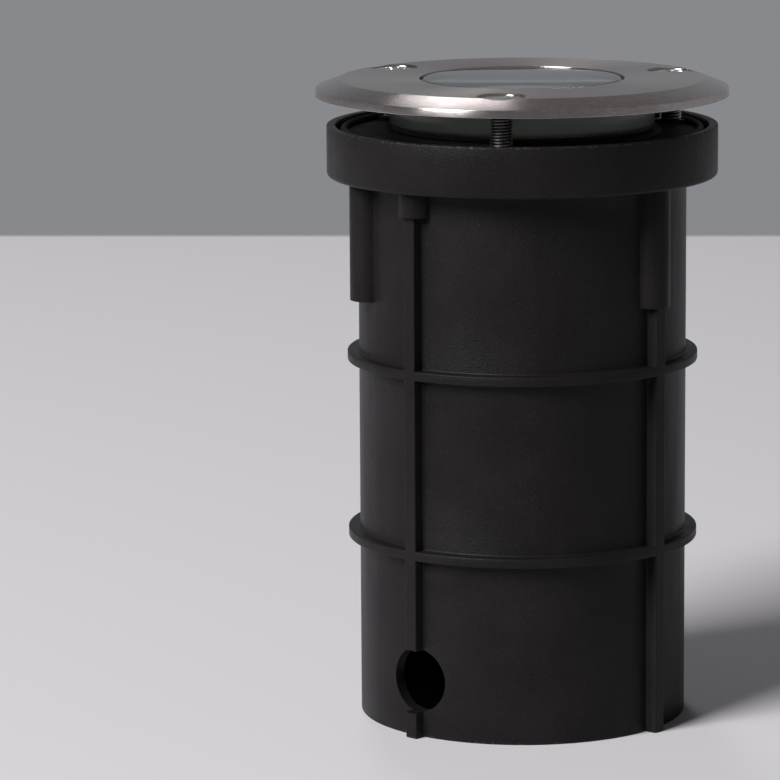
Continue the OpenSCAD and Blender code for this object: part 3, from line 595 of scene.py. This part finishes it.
def brushedSteel(name, look, brush):
    # fine hairs and broader bands, both drawn out round the axis
    values = {"Metallic": 1.0, "Anisotropic": look["anisotropy"], "Anisotropic Rotation": brush["turn"]}
    finish, where = newFinish(name, values)
    hair = grain(turnedLines(where, look["lines"], brush["hairLength"]), 1.0, 3, 0.6)
    bandLines = turnedLines(where, look["lines"] / brush["bandCoarser"], brush["bandLength"])
    band = grain(bandLines, 1.0, 2, 0.5)
    smear = grain(where, brush["smearSize"], 3, 0.55)
    colour = blend(between(hair, 0.25, 0.75), look["darker"], look["colour"])
    bandShare = times(varied(band, (0.0, 1.0)), brush["bandShare"])
    colour = blend(bandShare, colour, look["darker"])
    rough = varied(shared(hair, smear, 0.55), look["roughness"])
    bumps = relief(band, look["lineDepth"] * 2, 0.5, relief(hair, look["lineDepth"], 0.8))
    wire(finish, {"Tangent": add(finish.node_tree, "Tangent", {"direction_type": "RADIAL", "axis": "Z"}).outputs[0]})
    return coat(finish, colour, rough, bumps)


dress(trimPiece(trimSizes), "trim", "stainless", brushedSteel("stainless", trimLook, brushLook), "trim_ring")
print("trim ring made")


# Trim screws: M6 countersunk, cross recess, rolled thread

screwSizes = {
    "circle": 43.3, "end": 148.2, "top": 170.5, "head": 6.0, "headEdge": 0.5, "thread": 3.0, "threadRoot": 2.4,
    "pitch": 0.79, "leadIn": 0.8, "crown": 0.6, "crownRadii": (5.8, 5.3, 4.7, 4.1, 3.5, 2.8, 2.0, 1.2, 0.5, 0),
    "recessTip": (1.2, 0.4), "recessMiddle": (2.0, 0.5), "recessTop": (3.1, 0.66), "recessFlare": 0.4,
    "recessDepth": 2.1, "wingRoot": 0.32, "threadBelow": 3.8,
}
# groove is the colour of the painted shade in the thread's roots
screwLook = {
    "colour": "d9d8d8", "darker": "b6b4b3", "roughness": (0.2, 0.32), "lines": 14000, "lineDepth": 0.000008,
    "anisotropy": 0.4, "groove": "1d1712",
}
recessTurns = {"screw_front": 20, "screw_right": 52, "screw_left": 12}


def screwPiece(name, s):
    # one closed skin: thread, cone and head, on the screw's own axis
    steps, perTurn = 48, 12
    head, thread, top, edge = s["head"], s["thread"], s["top"], s["headEdge"]
    coneFoot = top - edge - (head - thread)
    points = [(0, 0, s["end"])] * steps
    for z in climb(s["end"], coneFoot - 0.05, s["pitch"] / perTurn):
        widest = thread - 0.75 * max(0, 1 - (z - s["end"]) / s["leadIn"])
        points += threadRing(z, s["pitch"], steps, lambda wave: min(
            s["threadRoot"] + (thread - s["threadRoot"]) * wave ** 0.75, widest))
    upper = [(thread - 0.25, coneFoot - 0.02), (thread, coneFoot + 0.05), (head - 0.06, top - edge - 0.05),
             (head, top - edge), (head, top - 0.16), (head - 0.05, top - 0.05)]
    # the head is slightly crowned
    upper += [(r, top + s["crown"] * (1 - (r / head) ** 2)) for r in s["crownRadii"]]
    for r, z in upper:
        points += circle(r, z, steps)
    piece = meshPiece(name, points, skin(len(points) // steps, steps), 40)
    work(piece, recessTool(s), sharpAngle=40)
    return piece


def recessTool(s):
    # a cross whose wings narrow towards its tip
    foot, crown = s["top"] - s["recessDepth"], s["top"] + s["crown"]
    span, width = s["recessTop"]
    levels = ((foot, *s["recessTip"]), (s["top"] - s["recessDepth"] * 0.75, *s["recessMiddle"]),
              (crown - 0.3, span, width), (crown + 0.2, span + s["recessFlare"], width + s["recessFlare"]))
    layers = []
    for z, reach, half in levels:
        inner = half + s["wingRoot"]
        wing = [(reach, half), (inner + 0.05, half + 0.04), (half + 0.04, inner + 0.05), (half, reach)]
        layers.append([(x * c - y * sn, x * sn + y * c, z)
                       for c, sn in ((1, 0), (0, 1), (-1, 0), (0, -1)) for x, y in wing])
    return stacked("recess", layers)


def screwSteel(look, s):
    # bright steel, with painted shade darkening the thread's grooves
    finish = brushedSteel("screw_steel", look, brushLook)
    bright = finish.node_tree.nodes["Principled BSDF"].inputs["Base Color"].links[0].from_socket
    r, cx, cy, z = roundAxis(place(finish.node_tree))
    # painted shade: the thread's roots turn dark brown, up to a little below the head
    grooveShade = between(r, (s["threadRoot"] + 0.12) * mm, (s["thread"] - 0.06) * mm, 1.0, 0.0)
    shank = between(z, (s["top"] - s["threadBelow"] - 0.4) * mm, (s["top"] - s["threadBelow"]) * mm, 1.0, 0.0)
    return wire(finish, {"Base Color": blend(times(grooveShade, shank), bright, look["groove"])})


screwBright = screwSteel(screwLook, screwSizes)
for node, direction in screwDirections.items():
    screw = screwPiece(node.replace("screw", "machine_screw"), screwSizes)
    shifted(screw, turn=direction + recessTurns[node])
    screw.location = (*[v * mm for v in around(direction, screwSizes["circle"])], 0)
    dress(screw, node, "screw_steel", screwBright, node)
print("screws made")


# Glass and its two gaskets

glassSizes = {"radius": 35.25, "bottom": 159.0, "shoulder": 169.0, "middle": 26.8, "top": 171.1, "chamfer": 0.7}
# the edge's tint is darker than the glass's own greenish tint: painted shade under the ring
glassLook = {
    "tint": "dfeee9", "edgeTintAndShade": "565b53", "ior": 1.5, "sheen": 0.35, "edgeRoughness": 0.32, "smudge": 0.05,
    "edgeFrom": 0.75, "edgeTo": 0.55, "groundSize": 900, "groundDepth": 0.000001, "smudgeSize": 40,
}
gasketSizes = {
    "lower": (31.0, 34.55, 158.0, 159.0),
    "upper": (28.0, 34.55, 169.0, 169.4),
}
rubberLook = {
    "colours": ("101011", "1d1d1e"), "roughness": (0.55, 0.75), "clouds": (90, 4, 0.65),
    "change": (0.4, 0.75, 0, 0.6), "grain": (2200, 2), "relief": (0.00003, 0.4),
}


def glassPiece(s):
    # a stepped disc: the shoulder lies under the ring, and the middle fills its opening
    c, far, near, foot, shoulder, top = s["chamfer"], s["radius"], s["middle"], s["bottom"], s["shoulder"], s["top"]
    return turned("front_glass", softened([
        (0, foot, 0), (far - c, foot, 0.1), (far, foot + c, 0.12), (far, shoulder - c, 0.12),
        (far - c, shoulder, 0.1), (near, shoulder, 0.2), (near, top - c, 0.15), (near - c, top, 0.15), (0, top, 0),
    ], 3), 256)


def clearGlass(s, look):
    # clear faces, and a ground edge whose greenish tint is darkened as painted shade under the ring
    values = {"Transmission Weight": 1.0, "IOR": look["ior"], "Roughness": 0.0, "Coat Weight": look["sheen"]}
    finish, where = newFinish("clear_glass", values)
    r = roundAxis(where)[0]
    edge = between(r, (s["radius"] - look["edgeFrom"]) * mm, (s["radius"] - look["edgeTo"]) * mm)
    ground = grain(where, look["groundSize"], 3, 0.6)
    frosted = between(ground, 0.2, 0.8, look["edgeRoughness"] * 0.9, look["edgeRoughness"] * 1.1)
    smudge = between(grain(where, look["smudgeSize"], 3, 0.6), 0.45, 0.9, 0.0, look["smudge"])
    rough = add(finish.node_tree, "Mix", {"data_type": "FLOAT"}, {0: edge, 2: smudge, 3: frosted}).outputs[0]
    bumps = relief(times(ground, edge), look["groundDepth"], 0.4)
    # the edge's colour is its own greenish tint with painted shade added
    return coat(finish, blend(edge, look["tint"], look["edgeTintAndShade"]), rough, bumps)


dress(glassPiece(glassSizes), "trim", "clear_glass", clearGlass(glassSizes, glassLook), "glass")
siliconeBlack = plainFinish("black_silicone", rubberLook, {"Specular IOR Level": 0.35})
for which, body in (("lower", "lamp_unit"), ("upper", "trim")):
    near, far, low, high = gasketSizes[which]
    gasket = flatRing(which + "_seal_ring", near, far, low, high, (high - low) * 0.3, 192)
    dress(gasket, body, "black_silicone", siliconeBlack, which + "_gasket")
print("glass and gaskets made")


# Housing: black coated can with a dished flange

housingSizes = {
    "foot": 60.0, "canRadius": 38.0, "canBore": 35.5, "canFloor": 63.0, "canRound": 4.0,
    "flangeFoot": 155.0, "flangeRadius": 48.3, "dish": 157.0, "land": 158.0, "landRadius": 36.55,
    "ledgeRadius": 31.0, "ledgeFoot": 154.0, "beadWidth": 1.9, "beadTop": 158.6,
    "padRadius": 4.5, "padFillet": 0.35, "screwHole": 3.05, "holeMouth": 0.3, "circle": 43.3,
    "glandHole": 8.05, "footPads": ((27.5, 0, 68.0), (-27.5, 0, 68.0), (15.0, -20.0, 69.2)), "footPadRadius": 4.0,
}
housingLook = {
    "colour": "0c0c0c", "haze": "121212", "speck": "8c8a88", "speckAmount": 0.12, "specular": 0.16,
    "roughness": (0.26, 0.4), "peelSize": 420, "peelDepth": 0.00006, "fineSize": 2400, "hazeSize": 70,
    "speckSize": 1700, "dull": 0.34, "dullFrom": 154.5, "dullTo": 156.0,
}


def canPiece(s):
    bead, outer, foot, flange = s["beadWidth"] / 2, s["flangeRadius"], s["foot"], s["flangeFoot"]
    crown = [(outer - bead + bead * cosOf(a), s["beadTop"] - bead + bead * sinOf(a), 0) for a in range(0, 181, 15)]
    cone = s["ledgeFoot"] - s["canBore"] + s["ledgeRadius"]
    return turned("lamp_can", softened([
        (0, foot, 0), (s["canRadius"], foot, s["canRound"]), (s["canRadius"], flange, 0.8), (outer, flange, 0.4),
        *crown, (outer - s["beadWidth"], s["dish"], 0.4), (s["landRadius"], s["dish"], 0.4),
        (s["landRadius"], s["land"], 0.25), (s["ledgeRadius"], s["land"], 0.25),
        (s["ledgeRadius"], s["ledgeFoot"], 0.4), (s["canBore"], cone, 0.6), (s["canBore"], s["canFloor"], 1.0),
        (0, s["canFloor"], 0),
    ], 5), 256)


def housingPiece(s):
    piece = canPiece(s)
    radius, fillet, land, low = s["padRadius"], s["padFillet"], s["land"], s["flangeFoot"] + 1
    screws = [around(direction, s["circle"]) for direction in screwDirections.values()]
    for x, y in screws:
        pad = turned("pad", softened([(0, low, 0), (radius + fillet, low, 0), (radius + fillet, s["dish"], 0),
                                      (radius, s["dish"] + fillet, 0.3), (radius, land, 0.22), (0, land, 0)], 4), 64)
        work(piece, shifted(pad, x, y), "UNION")
    radius, low = s["footPadRadius"], s["foot"] + 1.5
    for x, y, top in s["footPads"]:
        pad = turned("pad", softened([(0, low, 0), (radius, low, 0), (radius, top, 0.25), (0, top, 0)], 4), 40)
        work(piece, shifted(pad, x, y), "UNION")
    hole, mouth = s["screwHole"], s["screwHole"] + s["holeMouth"]
    for x, y in screws:
        profile = [(hole, s["flangeFoot"] - 1), (hole, land - 0.15), (mouth, land + 0.15), (mouth, land + 1)]
        work(piece, shifted(cutter(profile, 48), x, y))
    work(piece, cutter([(s["glandHole"], s["foot"] - 1), (s["glandHole"], s["canFloor"] + 1)]))
    return piece


def blackCoat(look):
    finish, where = newFinish("cast_black", {"Specular IOR Level": look["specular"]})
    peel, fine = grain(where, look["peelSize"], 3, 0.5), grain(where, look["fineSize"], 2)
    haze = grain(where, look["hazeSize"], 3, 0.6)
    specks = between(grain(where, look["speckSize"], 1, 0.4), 0.75, 0.81)
    colour = blend(between(haze, 0.4, 0.8, 0, 0.5), look["colour"], look["haze"])
    colour = blend(times(specks, look["speckAmount"]), colour, look["speck"])
    # the flange's upper side is duller than the can below it
    dull = between(axes(where)[2], look["dullFrom"] * mm, look["dullTo"] * mm, 0.0, look["dull"])
    rough = plus(varied(shared(haze, fine, 0.5), look["roughness"]), dull)
    return coat(finish, colour, rough, relief(peel, look["peelDepth"], 0.5))


dress(housingPiece(housingSizes), "lamp_unit", "cast_black", blackCoat(housingLook), "housing")
print("housing made")


# Lamp: white twist-lock lamp behind the glass

lampSizes = {
    "radius": 25.0, "top": 147.0, "rimFoot": 140.0, "rimRound": 0.6, "neck": 112.3, "baseRadius": 12.5,
    "foot": 98.3, "footRadius": 9.5, "stepHeight": 2.0, "grooves": 24, "grooveWidth": 1.6, "grooveDepth": 1.4,
    "lensRadius": 22.6, "lensFoot": 145.0, "bumpRadius": 3.4, "bumpDip": 0.35, "bumpCircles": (7.4, 14.6),
    "boardRadius": 21.6, "board": 137.0, "boardDepth": 1.6, "chips": 6, "chipHalf": 1.75,
}
lampLook = {
    "colours": ("e6e6e6", "dcdad4"), "roughness": (0.30, 0.42), "clouds": (60, 3, 0.55), "change": (0.35, 0.75),
    "grain": (1800, 2), "relief": (0.00002, 0.3),
}
lensLook = {
    "colours": ("f4f6f8", "e6ebee"), "roughness": (0.05, 0.16), "clouds": (120, 3, 0.6),
    "grain": (2600, 2), "relief": (0.00001, 0.3),
}
boardLook = {
    "white": "f0efe8", "shade": "d8d6cc", "copper": "c9b08a", "trackScale": 2600, "trackShare": 0.35,
    "chip": "e8c64a", "chipFrom": 2.05, "chipTo": 2.12, "roughness": (0.35, 0.55),
}


def lampShellPiece(s):
    soft = s["rimRound"]
    rim, flare, neck, board = s["radius"] - soft, s["baseRadius"] + 3, s["neck"], s["boardRadius"]
    piece = turned("lamp_body", softened([
        (0, neck, 0), (s["baseRadius"], neck, 0.2), (flare, neck + 5, 1.2),
        (rim, s["rimFoot"], 0.4), (s["radius"], s["rimFoot"] + soft, 0.3), (s["radius"], s["top"] - soft, 0.4),
        (rim, s["top"], 0.4), (s["lensRadius"], s["top"], 0.25), (s["lensRadius"], s["lensFoot"], 0),
        (board, s["lensFoot"], 0), (board, s["board"], 0), (0, s["board"], 0)], 4), 192)
    slope = (rim - flare) / (s["rimFoot"] - neck - 5)
    low, high = flare - s["grooveDepth"] + slope * 2, rim - s["grooveDepth"] - slope * 2
    half, out, tools = s["grooveWidth"] / 2, s["radius"] + 1, []
    for i in range(s["grooves"]):
        layers = [[(near, -half, z), (out, -half, z), (out, half, z), (near, half, z)]
                  for near, z in ((low, neck + 7), (high, s["rimFoot"] - 2))]
        tools.append(shifted(stacked("groove", layers), turn=i * 360 / s["grooves"]))
    work(piece, joined(tools))
    return piece


def lampLensPiece(s):
    # flat disc whose upper face carries small round lens bumps in rings
    outer, low, high, dip = s["lensRadius"] - 0.05, s["lensFoot"], s["top"], s["bumpDip"]
    inner, wide = s["bumpCircles"]
    bumps = [(0, 0)] + [around(i * 60, inner) for i in range(6)] + [around(15 + i * 30, wide) for i in range(12)]
    rings, steps, points, faces = 44, 144, [], []
    for k in range(rings + 1):
        r = outer * k / rings
        for x, y, z in circle(r, high - 0.1, steps):
            near = min(math.hypot(x - bx, y - by) for bx, by in bumps)
            if r < outer - 1.2:
                z = high - dip + dip * math.sqrt(max(0, 1 - (near / s["bumpRadius"]) ** 2))
            points.append((x, y, z))
    points += circle(outer, low, steps) + [(0, 0, low)] * steps
    for k in range(rings + 2):
        for i in range(steps):
            j = (i + 1) % steps
            faces.append((k * steps + i, (k + 1) * steps + i, (k + 1) * steps + j, k * steps + j))
    return meshPiece("lamp_front_lens", points, faces, 50)


def ledBoardPiece(s):
    # round board with six chips, each a white frame round a yellow dome
    low, high, edge, half = s["board"], s["board"] + s["boardDepth"], s["boardRadius"] - 0.05, s["chipHalf"]
    parts = [turned("led_plate", softened([(0, low, 0), (edge, low, 0.1), (edge, high, 0.15), (0, high, 0)], 2), 128)]
    corners = softened([(-half, -half, 0.3), (half, -half, 0.3), (half, half, 0.3), (-half, half, 0.3)], 3)
    z, apart = low + 1.62, 360 / s["chips"]
    for i in range(s["chips"]):
        x, y = around(i * apart, s["boardRadius"] / 2)
        layers = [[(px * size, py * size, z + up) for px, py in corners]
                  for size, up in ((1, -0.1), (1, 0.62), (0.82, 0.66), (0.78, 0.5))]
        parts.append(shifted(stacked("chip", layers, 25), x, y, turn=i * apart))
        dome = turned("dome", [(0, z + 0.3), (1.2, z + 0.45), (1.05, z + 0.6), (0.7, z + 0.7), (0, z + 0.74)], 24)
        parts.append(shifted(dome, x, y))
    piece = joined(parts)
    piece.name = "led_plate"
    cleanMesh(piece)
    return piece


def ledBoardFinish(s, look):
    # white board, yellow chip domes by height, copper-tinted rings round the middle
    finish, where = newFinish("led_board", {"Specular IOR Level": 0.4})
    r, cx, cy, z = roundAxis(where)
    fine = grain(where, 1600, 2)
    waves = calc("SINE", times(r, look["trackScale"]))
    tracks = times(between(waves, 0.6, 0.9), look["trackShare"])
    colour = blend(times(fine, 0.3), look["white"], look["shade"])
    colour = blend(tracks, colour, look["copper"])
    raised = between(z, (s["board"] + look["chipFrom"]) * mm, (s["board"] + look["chipTo"]) * mm)
    colour = blend(raised, colour, look["chip"])
    return coat(finish, colour, varied(fine, look["roughness"]), relief(fine, 0.00002, 0.3))


def lampBasePiece(s):
    step = s["foot"] + s["stepHeight"]
    return turned("lamp_foot", softened([
        (0, s["foot"], 0), (s["footRadius"], s["foot"], 0.3), (s["footRadius"], step, 0.2),
        (s["baseRadius"], step, 0.5), (s["baseRadius"], s["neck"], 0.1), (0, s["neck"], 0)], 3), 128)


whitePlastic = plainFinish("lamp_white", lampLook, {"Specular IOR Level": 0.5})
dress(lampShellPiece(lampSizes), "lamp", "lamp_white", whitePlastic, "lamp_shell")
clearPlastic = plainFinish("lens_clear", lensLook, {"Transmission Weight": 1.0, "IOR": 1.49})
dress(lampLensPiece(lampSizes), "lamp", "lens_clear", clearPlastic, "lamp_lens")
dress(ledBoardPiece(lampSizes), "lamp", "led_board", ledBoardFinish(lampSizes, boardLook), "led_board")
dress(lampBasePiece(lampSizes), "lamp", "lamp_white", whitePlastic, "lamp_base")
print("lamp made")


# Cable gland: black nylon body, washer, locknut, seal and cap nut

glandSizes = {
    "hexFoot": 53.8, "hexTop": 58.8, "flats": 21.0, "threadRadius": 8.0, "end": 41.8, "top": 68.0, "bore": 4.5,
    "seal": (3.75, 5.75, 41.8, 49.8), "washer": (8.05, 10.5, 58.8, 60.0), "locknut": (63.0, 67.0), "lockBore": 8.05,
    "nutFoot": 35.4, "nutTop": 53.4, "nutHexFoot": 42.4, "nutSeat": 41.4, "pitch": 1.5, "threadDepth": 0.55,
    "clear": 0.05, "dome": ((6.6, 0, 0.6), (8.6, 1.7, 1.5), (10.0, 4.6, 2.0)), "domeRadius": 10.1,
}
nylonLook = {
    "colours": ("1a1a1c", "262628"), "roughness": (0.36, 0.52), "clouds": (110, 4, 0.6), "change": (0.35, 0.75),
    "grain": (2000, 3), "relief": (0.00003, 0.4),
}


def hexRing(flats, z, tuck=0.0, perSide=10):
    # points round a hexagon, drawn in at its corners by tuck
    points, corner = [], flats / math.sqrt(3)
    for side in range(6):
        (x0, y0), (x1, y1) = around(side * 60, 1), around(side * 60 + 60, 1)
        for k in range(perSide):
            t = k / perSide
            x = corner * (x0 * (1 - t) + x1 * t)
            y = corner * (y0 * (1 - t) + y1 * t)
            r = math.hypot(x, y)
            keep = min(r, corner - tuck) / r
            points.append((x * keep, y * keep, z))
    return points


def hexPiece(name, flats, low, high):
    # the corners are turned off at both ends
    tucks = ((0, 1.1), (0.25, 0.55), (0.8, 0.12))
    rings = [(low + up, tuck) for up, tuck in tucks] + [(high - down, tuck) for down, tuck in reversed(tucks)]
    return stacked(name, [hexRing(flats, z, tuck) for z, tuck in rings], 26)


def threadedRod(name, radius, low, high, pitch, depth, steps=72, perTurn=10):
    layers = []
    for z in climb(low, high - 1e-6, pitch / perTurn) + [high]:
        fade = min(1.0, (z - low) / 1.0, (high - z) / 1.0)
        layers.append(threadRing(z, pitch, steps, lambda wave: (
            radius - depth * (1 - wave ** 0.7) - 0.6 * (1 - max(0, fade)) ** 2)))
    return stacked(name, layers, 45)


def glandBodyPiece(s):
    piece = threadedRod("gland_stem", s["threadRadius"], s["end"], s["top"], s["pitch"], s["threadDepth"])
    work(piece, hexPiece("hex", s["flats"], s["hexFoot"], s["hexTop"]), "UNION")
    near, far, low, high = s["seal"]
    seat = far + s["clear"]
    drill = cutter([(seat, s["end"] - 1), (seat, high), (s["bore"], high + 0.01), (s["bore"], s["top"] + 1)])
    work(piece, drill, sharpAngle=40)
    return piece


def capNutPiece(s):
    foot, bore, wide, inside = s["nutFoot"], s["bore"], s["threadRadius"] + s["clear"], s["nutHexFoot"] + 1
    curve = [(r, foot + up, soft) for r, up, soft in s["dome"]]
    dome = turned("cap_nut", softened([(0, foot, 0), *curve, (s["domeRadius"], inside, 0), (0, inside, 0)], 5), 96)
    work(dome, hexPiece("hex", s["flats"], s["nutHexFoot"], s["nutTop"]), "UNION")
    drill = cutter([(bore + 0.5, foot - 0.1), (bore, foot + 0.5), (bore, s["nutSeat"]),
                    (wide, s["nutSeat"] + 0.01), (wide, s["nutTop"] + 1)], tip=0.9)
    work(dome, drill)
    return dome


def locknutPiece(s):
    low, high = s["locknut"]
    piece = hexPiece("gland_lock_ring", s["flats"], low, high)
    work(piece, cutter([(s["lockBore"], low - 1), (s["lockBore"], high + 1)]))
    return piece


nylon = plainFinish("gland_nylon", nylonLook, {"Specular IOR Level": 0.5})
dress(glandBodyPiece(glandSizes), "lamp_unit", "gland_nylon", nylon, "gland_body")
dress(capNutPiece(glandSizes), "gland_nut", "gland_nylon", nylon, "gland_nut")
for name, node in (("seal", "gland_seal"), ("washer", "gland_washer")):
    near, far, low, high = glandSizes[name]
    ring = flatRing("gland_" + name + "_ring", near, far, low, high, 0.3, 96)
    dress(ring, "lamp_unit", "black_silicone", siliconeBlack, node)
dress(locknutPiece(glandSizes), "lamp_unit", "gland_nylon", nylon, "gland_locknut")
print("gland made")


# Inner pieces that keep their CAD shape: finishes only

innerLook = {
    "ceramic": ("efece2", "dcd6c6"), "zinc": ("b9bdc1", "8f9499"), "brass": ("dcb660", "b08a3c"),
    "terminal": ("ecebe6", "dad8d0"), "redWire": ("9c2020", "7c1515"), "earthWire": ("4d8a2c", "d9c83a"),
    "stripeAbove": 70.3,
}


def speckled(name, colours, roughness, metallic=0.0, scale=300, depth=0.00003):
    finish, where = newFinish(name, {"Metallic": metallic})
    broad, fine = grain(where, scale / 4, 4, 0.6), grain(where, scale * 5, 3, 0.6)
    mixed = shared(broad, fine, 0.6)
    colour = blend(between(mixed, 0.35, 0.68), *colours)
    return coat(finish, colour, varied(mixed, roughness), relief(fine, depth, 0.4))


def earthStripes(colours, stripeAbove):
    # green insulation with a yellow stripe along it
    finish, where = newFinish("earth_green", {"Specular IOR Level": 0.4})
    stripe = between(calc("SUBTRACT", axes(where)[2], stripeAbove * mm), 0.0, 0.0003)
    worn = varied(grain(where, 300, 3), (0.35, 0.5))
    return coat(finish, blend(stripe, *colours), worn, relief(grain(where, 1800, 2), 0.00003, 0.4))


zinc = speckled("plated_steel", innerLook["zinc"], (0.22, 0.38), 1.0, 500, 0.00001)
brass = speckled("brass", innerLook["brass"], (0.2, 0.34), 1.0, 420, 0.00001)
innerFinishes = {
    "lampholder": speckled("steatite", innerLook["ceramic"], (0.5, 0.72), 0.0, 700, 0.00005),
    "terminal_block": speckled("terminal_white", innerLook["terminal"], (0.38, 0.52)),
    "lamp_leads": speckled("red_silicone", innerLook["redWire"], (0.42, 0.6)),
    "earth_lead": earthStripes(innerLook["earthWire"], innerLook["stripeAbove"]),
    "holder_bracket": zinc, "holder_screws": zinc, "bracket_screws": zinc, "block_screw": zinc, "earth_screw": zinc,
    "holder_contacts": brass, "terminal_screws": brass, "lamp_pins": brass,
}
for node, finish in innerFinishes.items():
    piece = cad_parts[node]
    piece.data.materials.clear()
    piece.data.materials.append(finish)
print("inner pieces finished")


# Floor, backdrop, lights and camera

stageLook = {
    "floor": "d4d1d6", "floorShade": "cfcdce", "floorRadius": 1300, "floorDepth": 4.0,
    "farEdge": 0.8736, "edgeTurn": 89.28, "edgeSoft": 0.006, "roundFrom": 1.2, "roundTo": 1.28,
    "glossFrom": -0.6, "glossTo": -0.03, "backdrop": (0.244, 0.248, 0.262), "worldLight": 0.06,
    "frontGloss": 0.65, "leftGloss": -0.7, "rightGloss": 1.3,
    "ceiling": (0.17, 0.155, 0.152), "frontCeiling": (0.42, 0.41, 0.41),
}
softboxes = {
    "key_softbox": {"at": (-2.05, -1.98, 2.17), "size": (1.5, 1.9), "power": 187},
    "back_softbox": {"at": (-0.222, 1.217, 1.40), "size": (0.33, 0.5), "power": 1.55},
    "back_fill": {"at": (-0.222, 1.217, 1.40), "size": (0.33, 0.5), "power": 2.8, "glossy": False},
}
cameraSetup = {"at": (0.81, -1237.3, 310.9), "lens": 216.12, "down": 0.17899, "left": 0.02936, "roll": -0.00612}


def floorPiece(look):
    piece = stacked("studio_floor", [circle(look["floorRadius"], z, 128) for z in (-look["floorDepth"], 0.0)])
    finish, where = newFinish("studio_floor", {"Roughness": 0.75, "Specular IOR Level": 0.3})
    fine = grain(where, 900, 3)
    colour = blend(times(fine, 0.2), look["floor"], look["floorShade"])
    # the table ends in a straight line behind, and fades out in a circle elsewhere
    r, cx, cy, z = roundAxis(where)
    aside, away = cosOf(look["edgeTurn"]), sinOf(look["edgeTurn"])
    behind = times(r, plus(times(cx, aside), times(cy, away)))
    straight = between(behind, look["farEdge"] - look["edgeSoft"], look["farEdge"] + look["edgeSoft"], 1.0, 0.0)
    solid = times(straight, between(r, look["roundFrom"], look["roundTo"], 1.0, 0.0))
    # gloss sees the table end a little way in front, as it does in the studio
    inFront = between(times(r, cy), look["glossFrom"], look["glossTo"], 1.0, 0.0)
    unseen = times(inFront, add(finish.node_tree, "LightPath").outputs["Is Glossy Ray"])
    wire(finish, {"Base Color": colour, "Alpha": times(solid, calc("SUBTRACT", 1.0, unseen))})
    piece.data.materials.append(finish)


def worldLight(look):
    world = bpy.data.worlds.new("studio")
    scene.world = world
    world.use_nodes = True
    tree = world.node_tree
    tree.nodes.clear()
    path = add(tree, "LightPath").outputs
    glossy = path["Is Glossy Ray"]
    seen = calc("MAXIMUM", path["Is Camera Ray"], calc("MAXIMUM", glossy, path["Is Transmission Ray"]))
    lighting = add(tree, "Background", None, {"Color": (1, 1, 1, 1), "Strength": look["worldLight"]})
    # gloss shows the backdrop behind and a dimmer studio in front
    x, y, z = axes(add(tree, "TexCoord").outputs["Generated"])
    front = between(y, -0.45, 0.15, look["frontGloss"], 1.0)
    left = times(between(x, -0.9, 0.0, look["leftGloss"], 0.0), between(z, 0.25, 0.45))
    sides = plus(left, between(x, 0.4, 0.9, 1.0, look["rightGloss"]))
    dimmed = times(calc("SUBTRACT", times(front, sides), 1.0), glossy)
    above = blend(between(y, -0.3, 0.1), (*look["frontCeiling"], 1), (*look["ceiling"], 1))
    wall = blend(times(between(z, 0.3, 0.8), glossy), (*look["backdrop"], 1), above)
    shown = add(tree, "Background", None, {"Color": wall, "Strength": plus(dimmed, 1.0)})
    mixed = add(tree, "MixShader", None, {0: seen, 1: lighting.outputs[0], 2: shown.outputs[0]})
    add(tree, "OutputWorld", None, {"Surface": mixed.outputs[0]})


def softbox(name, at, size, power, aim=(0, 0, 0.12), glossy=True):
    lamp = bpy.data.lights.new(name, "AREA")
    lamp.shape, lamp.size, lamp.size_y, lamp.energy = "RECTANGLE", size[0], size[1], power
    stand = bpy.data.objects.new(name, lamp)
    stand.visible_transmission = False
    stand.visible_glossy = glossy
    stand.location = at
    stand.rotation_euler = (Vector(aim) - Vector(at)).to_track_quat("-Z", "Y").to_euler()
    scene.collection.objects.link(stand)


def photoCamera(setup):
    view = bpy.data.cameras.new("photo_view")
    view.lens, view.sensor_width, view.clip_end = setup["lens"], 36.0, 100
    stand = bpy.data.objects.new("photo_view", view)
    stand.location = [v * mm for v in setup["at"]]
    down, left = setup["down"], setup["left"]
    ahead = Vector((-math.sin(left) * math.cos(down), math.cos(left) * math.cos(down), -math.sin(down)))
    level = ahead.to_track_quat("-Z", "Y")
    stand.rotation_euler = (level @ Quaternion((0, 0, 1), setup["roll"])).to_euler()
    scene.collection.objects.link(stand)
    scene.camera = stand


floorPiece(stageLook)
worldLight(stageLook)
for name, setup in softboxes.items():
    softbox(name, **setup)
photoCamera(cameraSetup)
scene.view_settings.view_transform = "Standard"
print("stage ready")
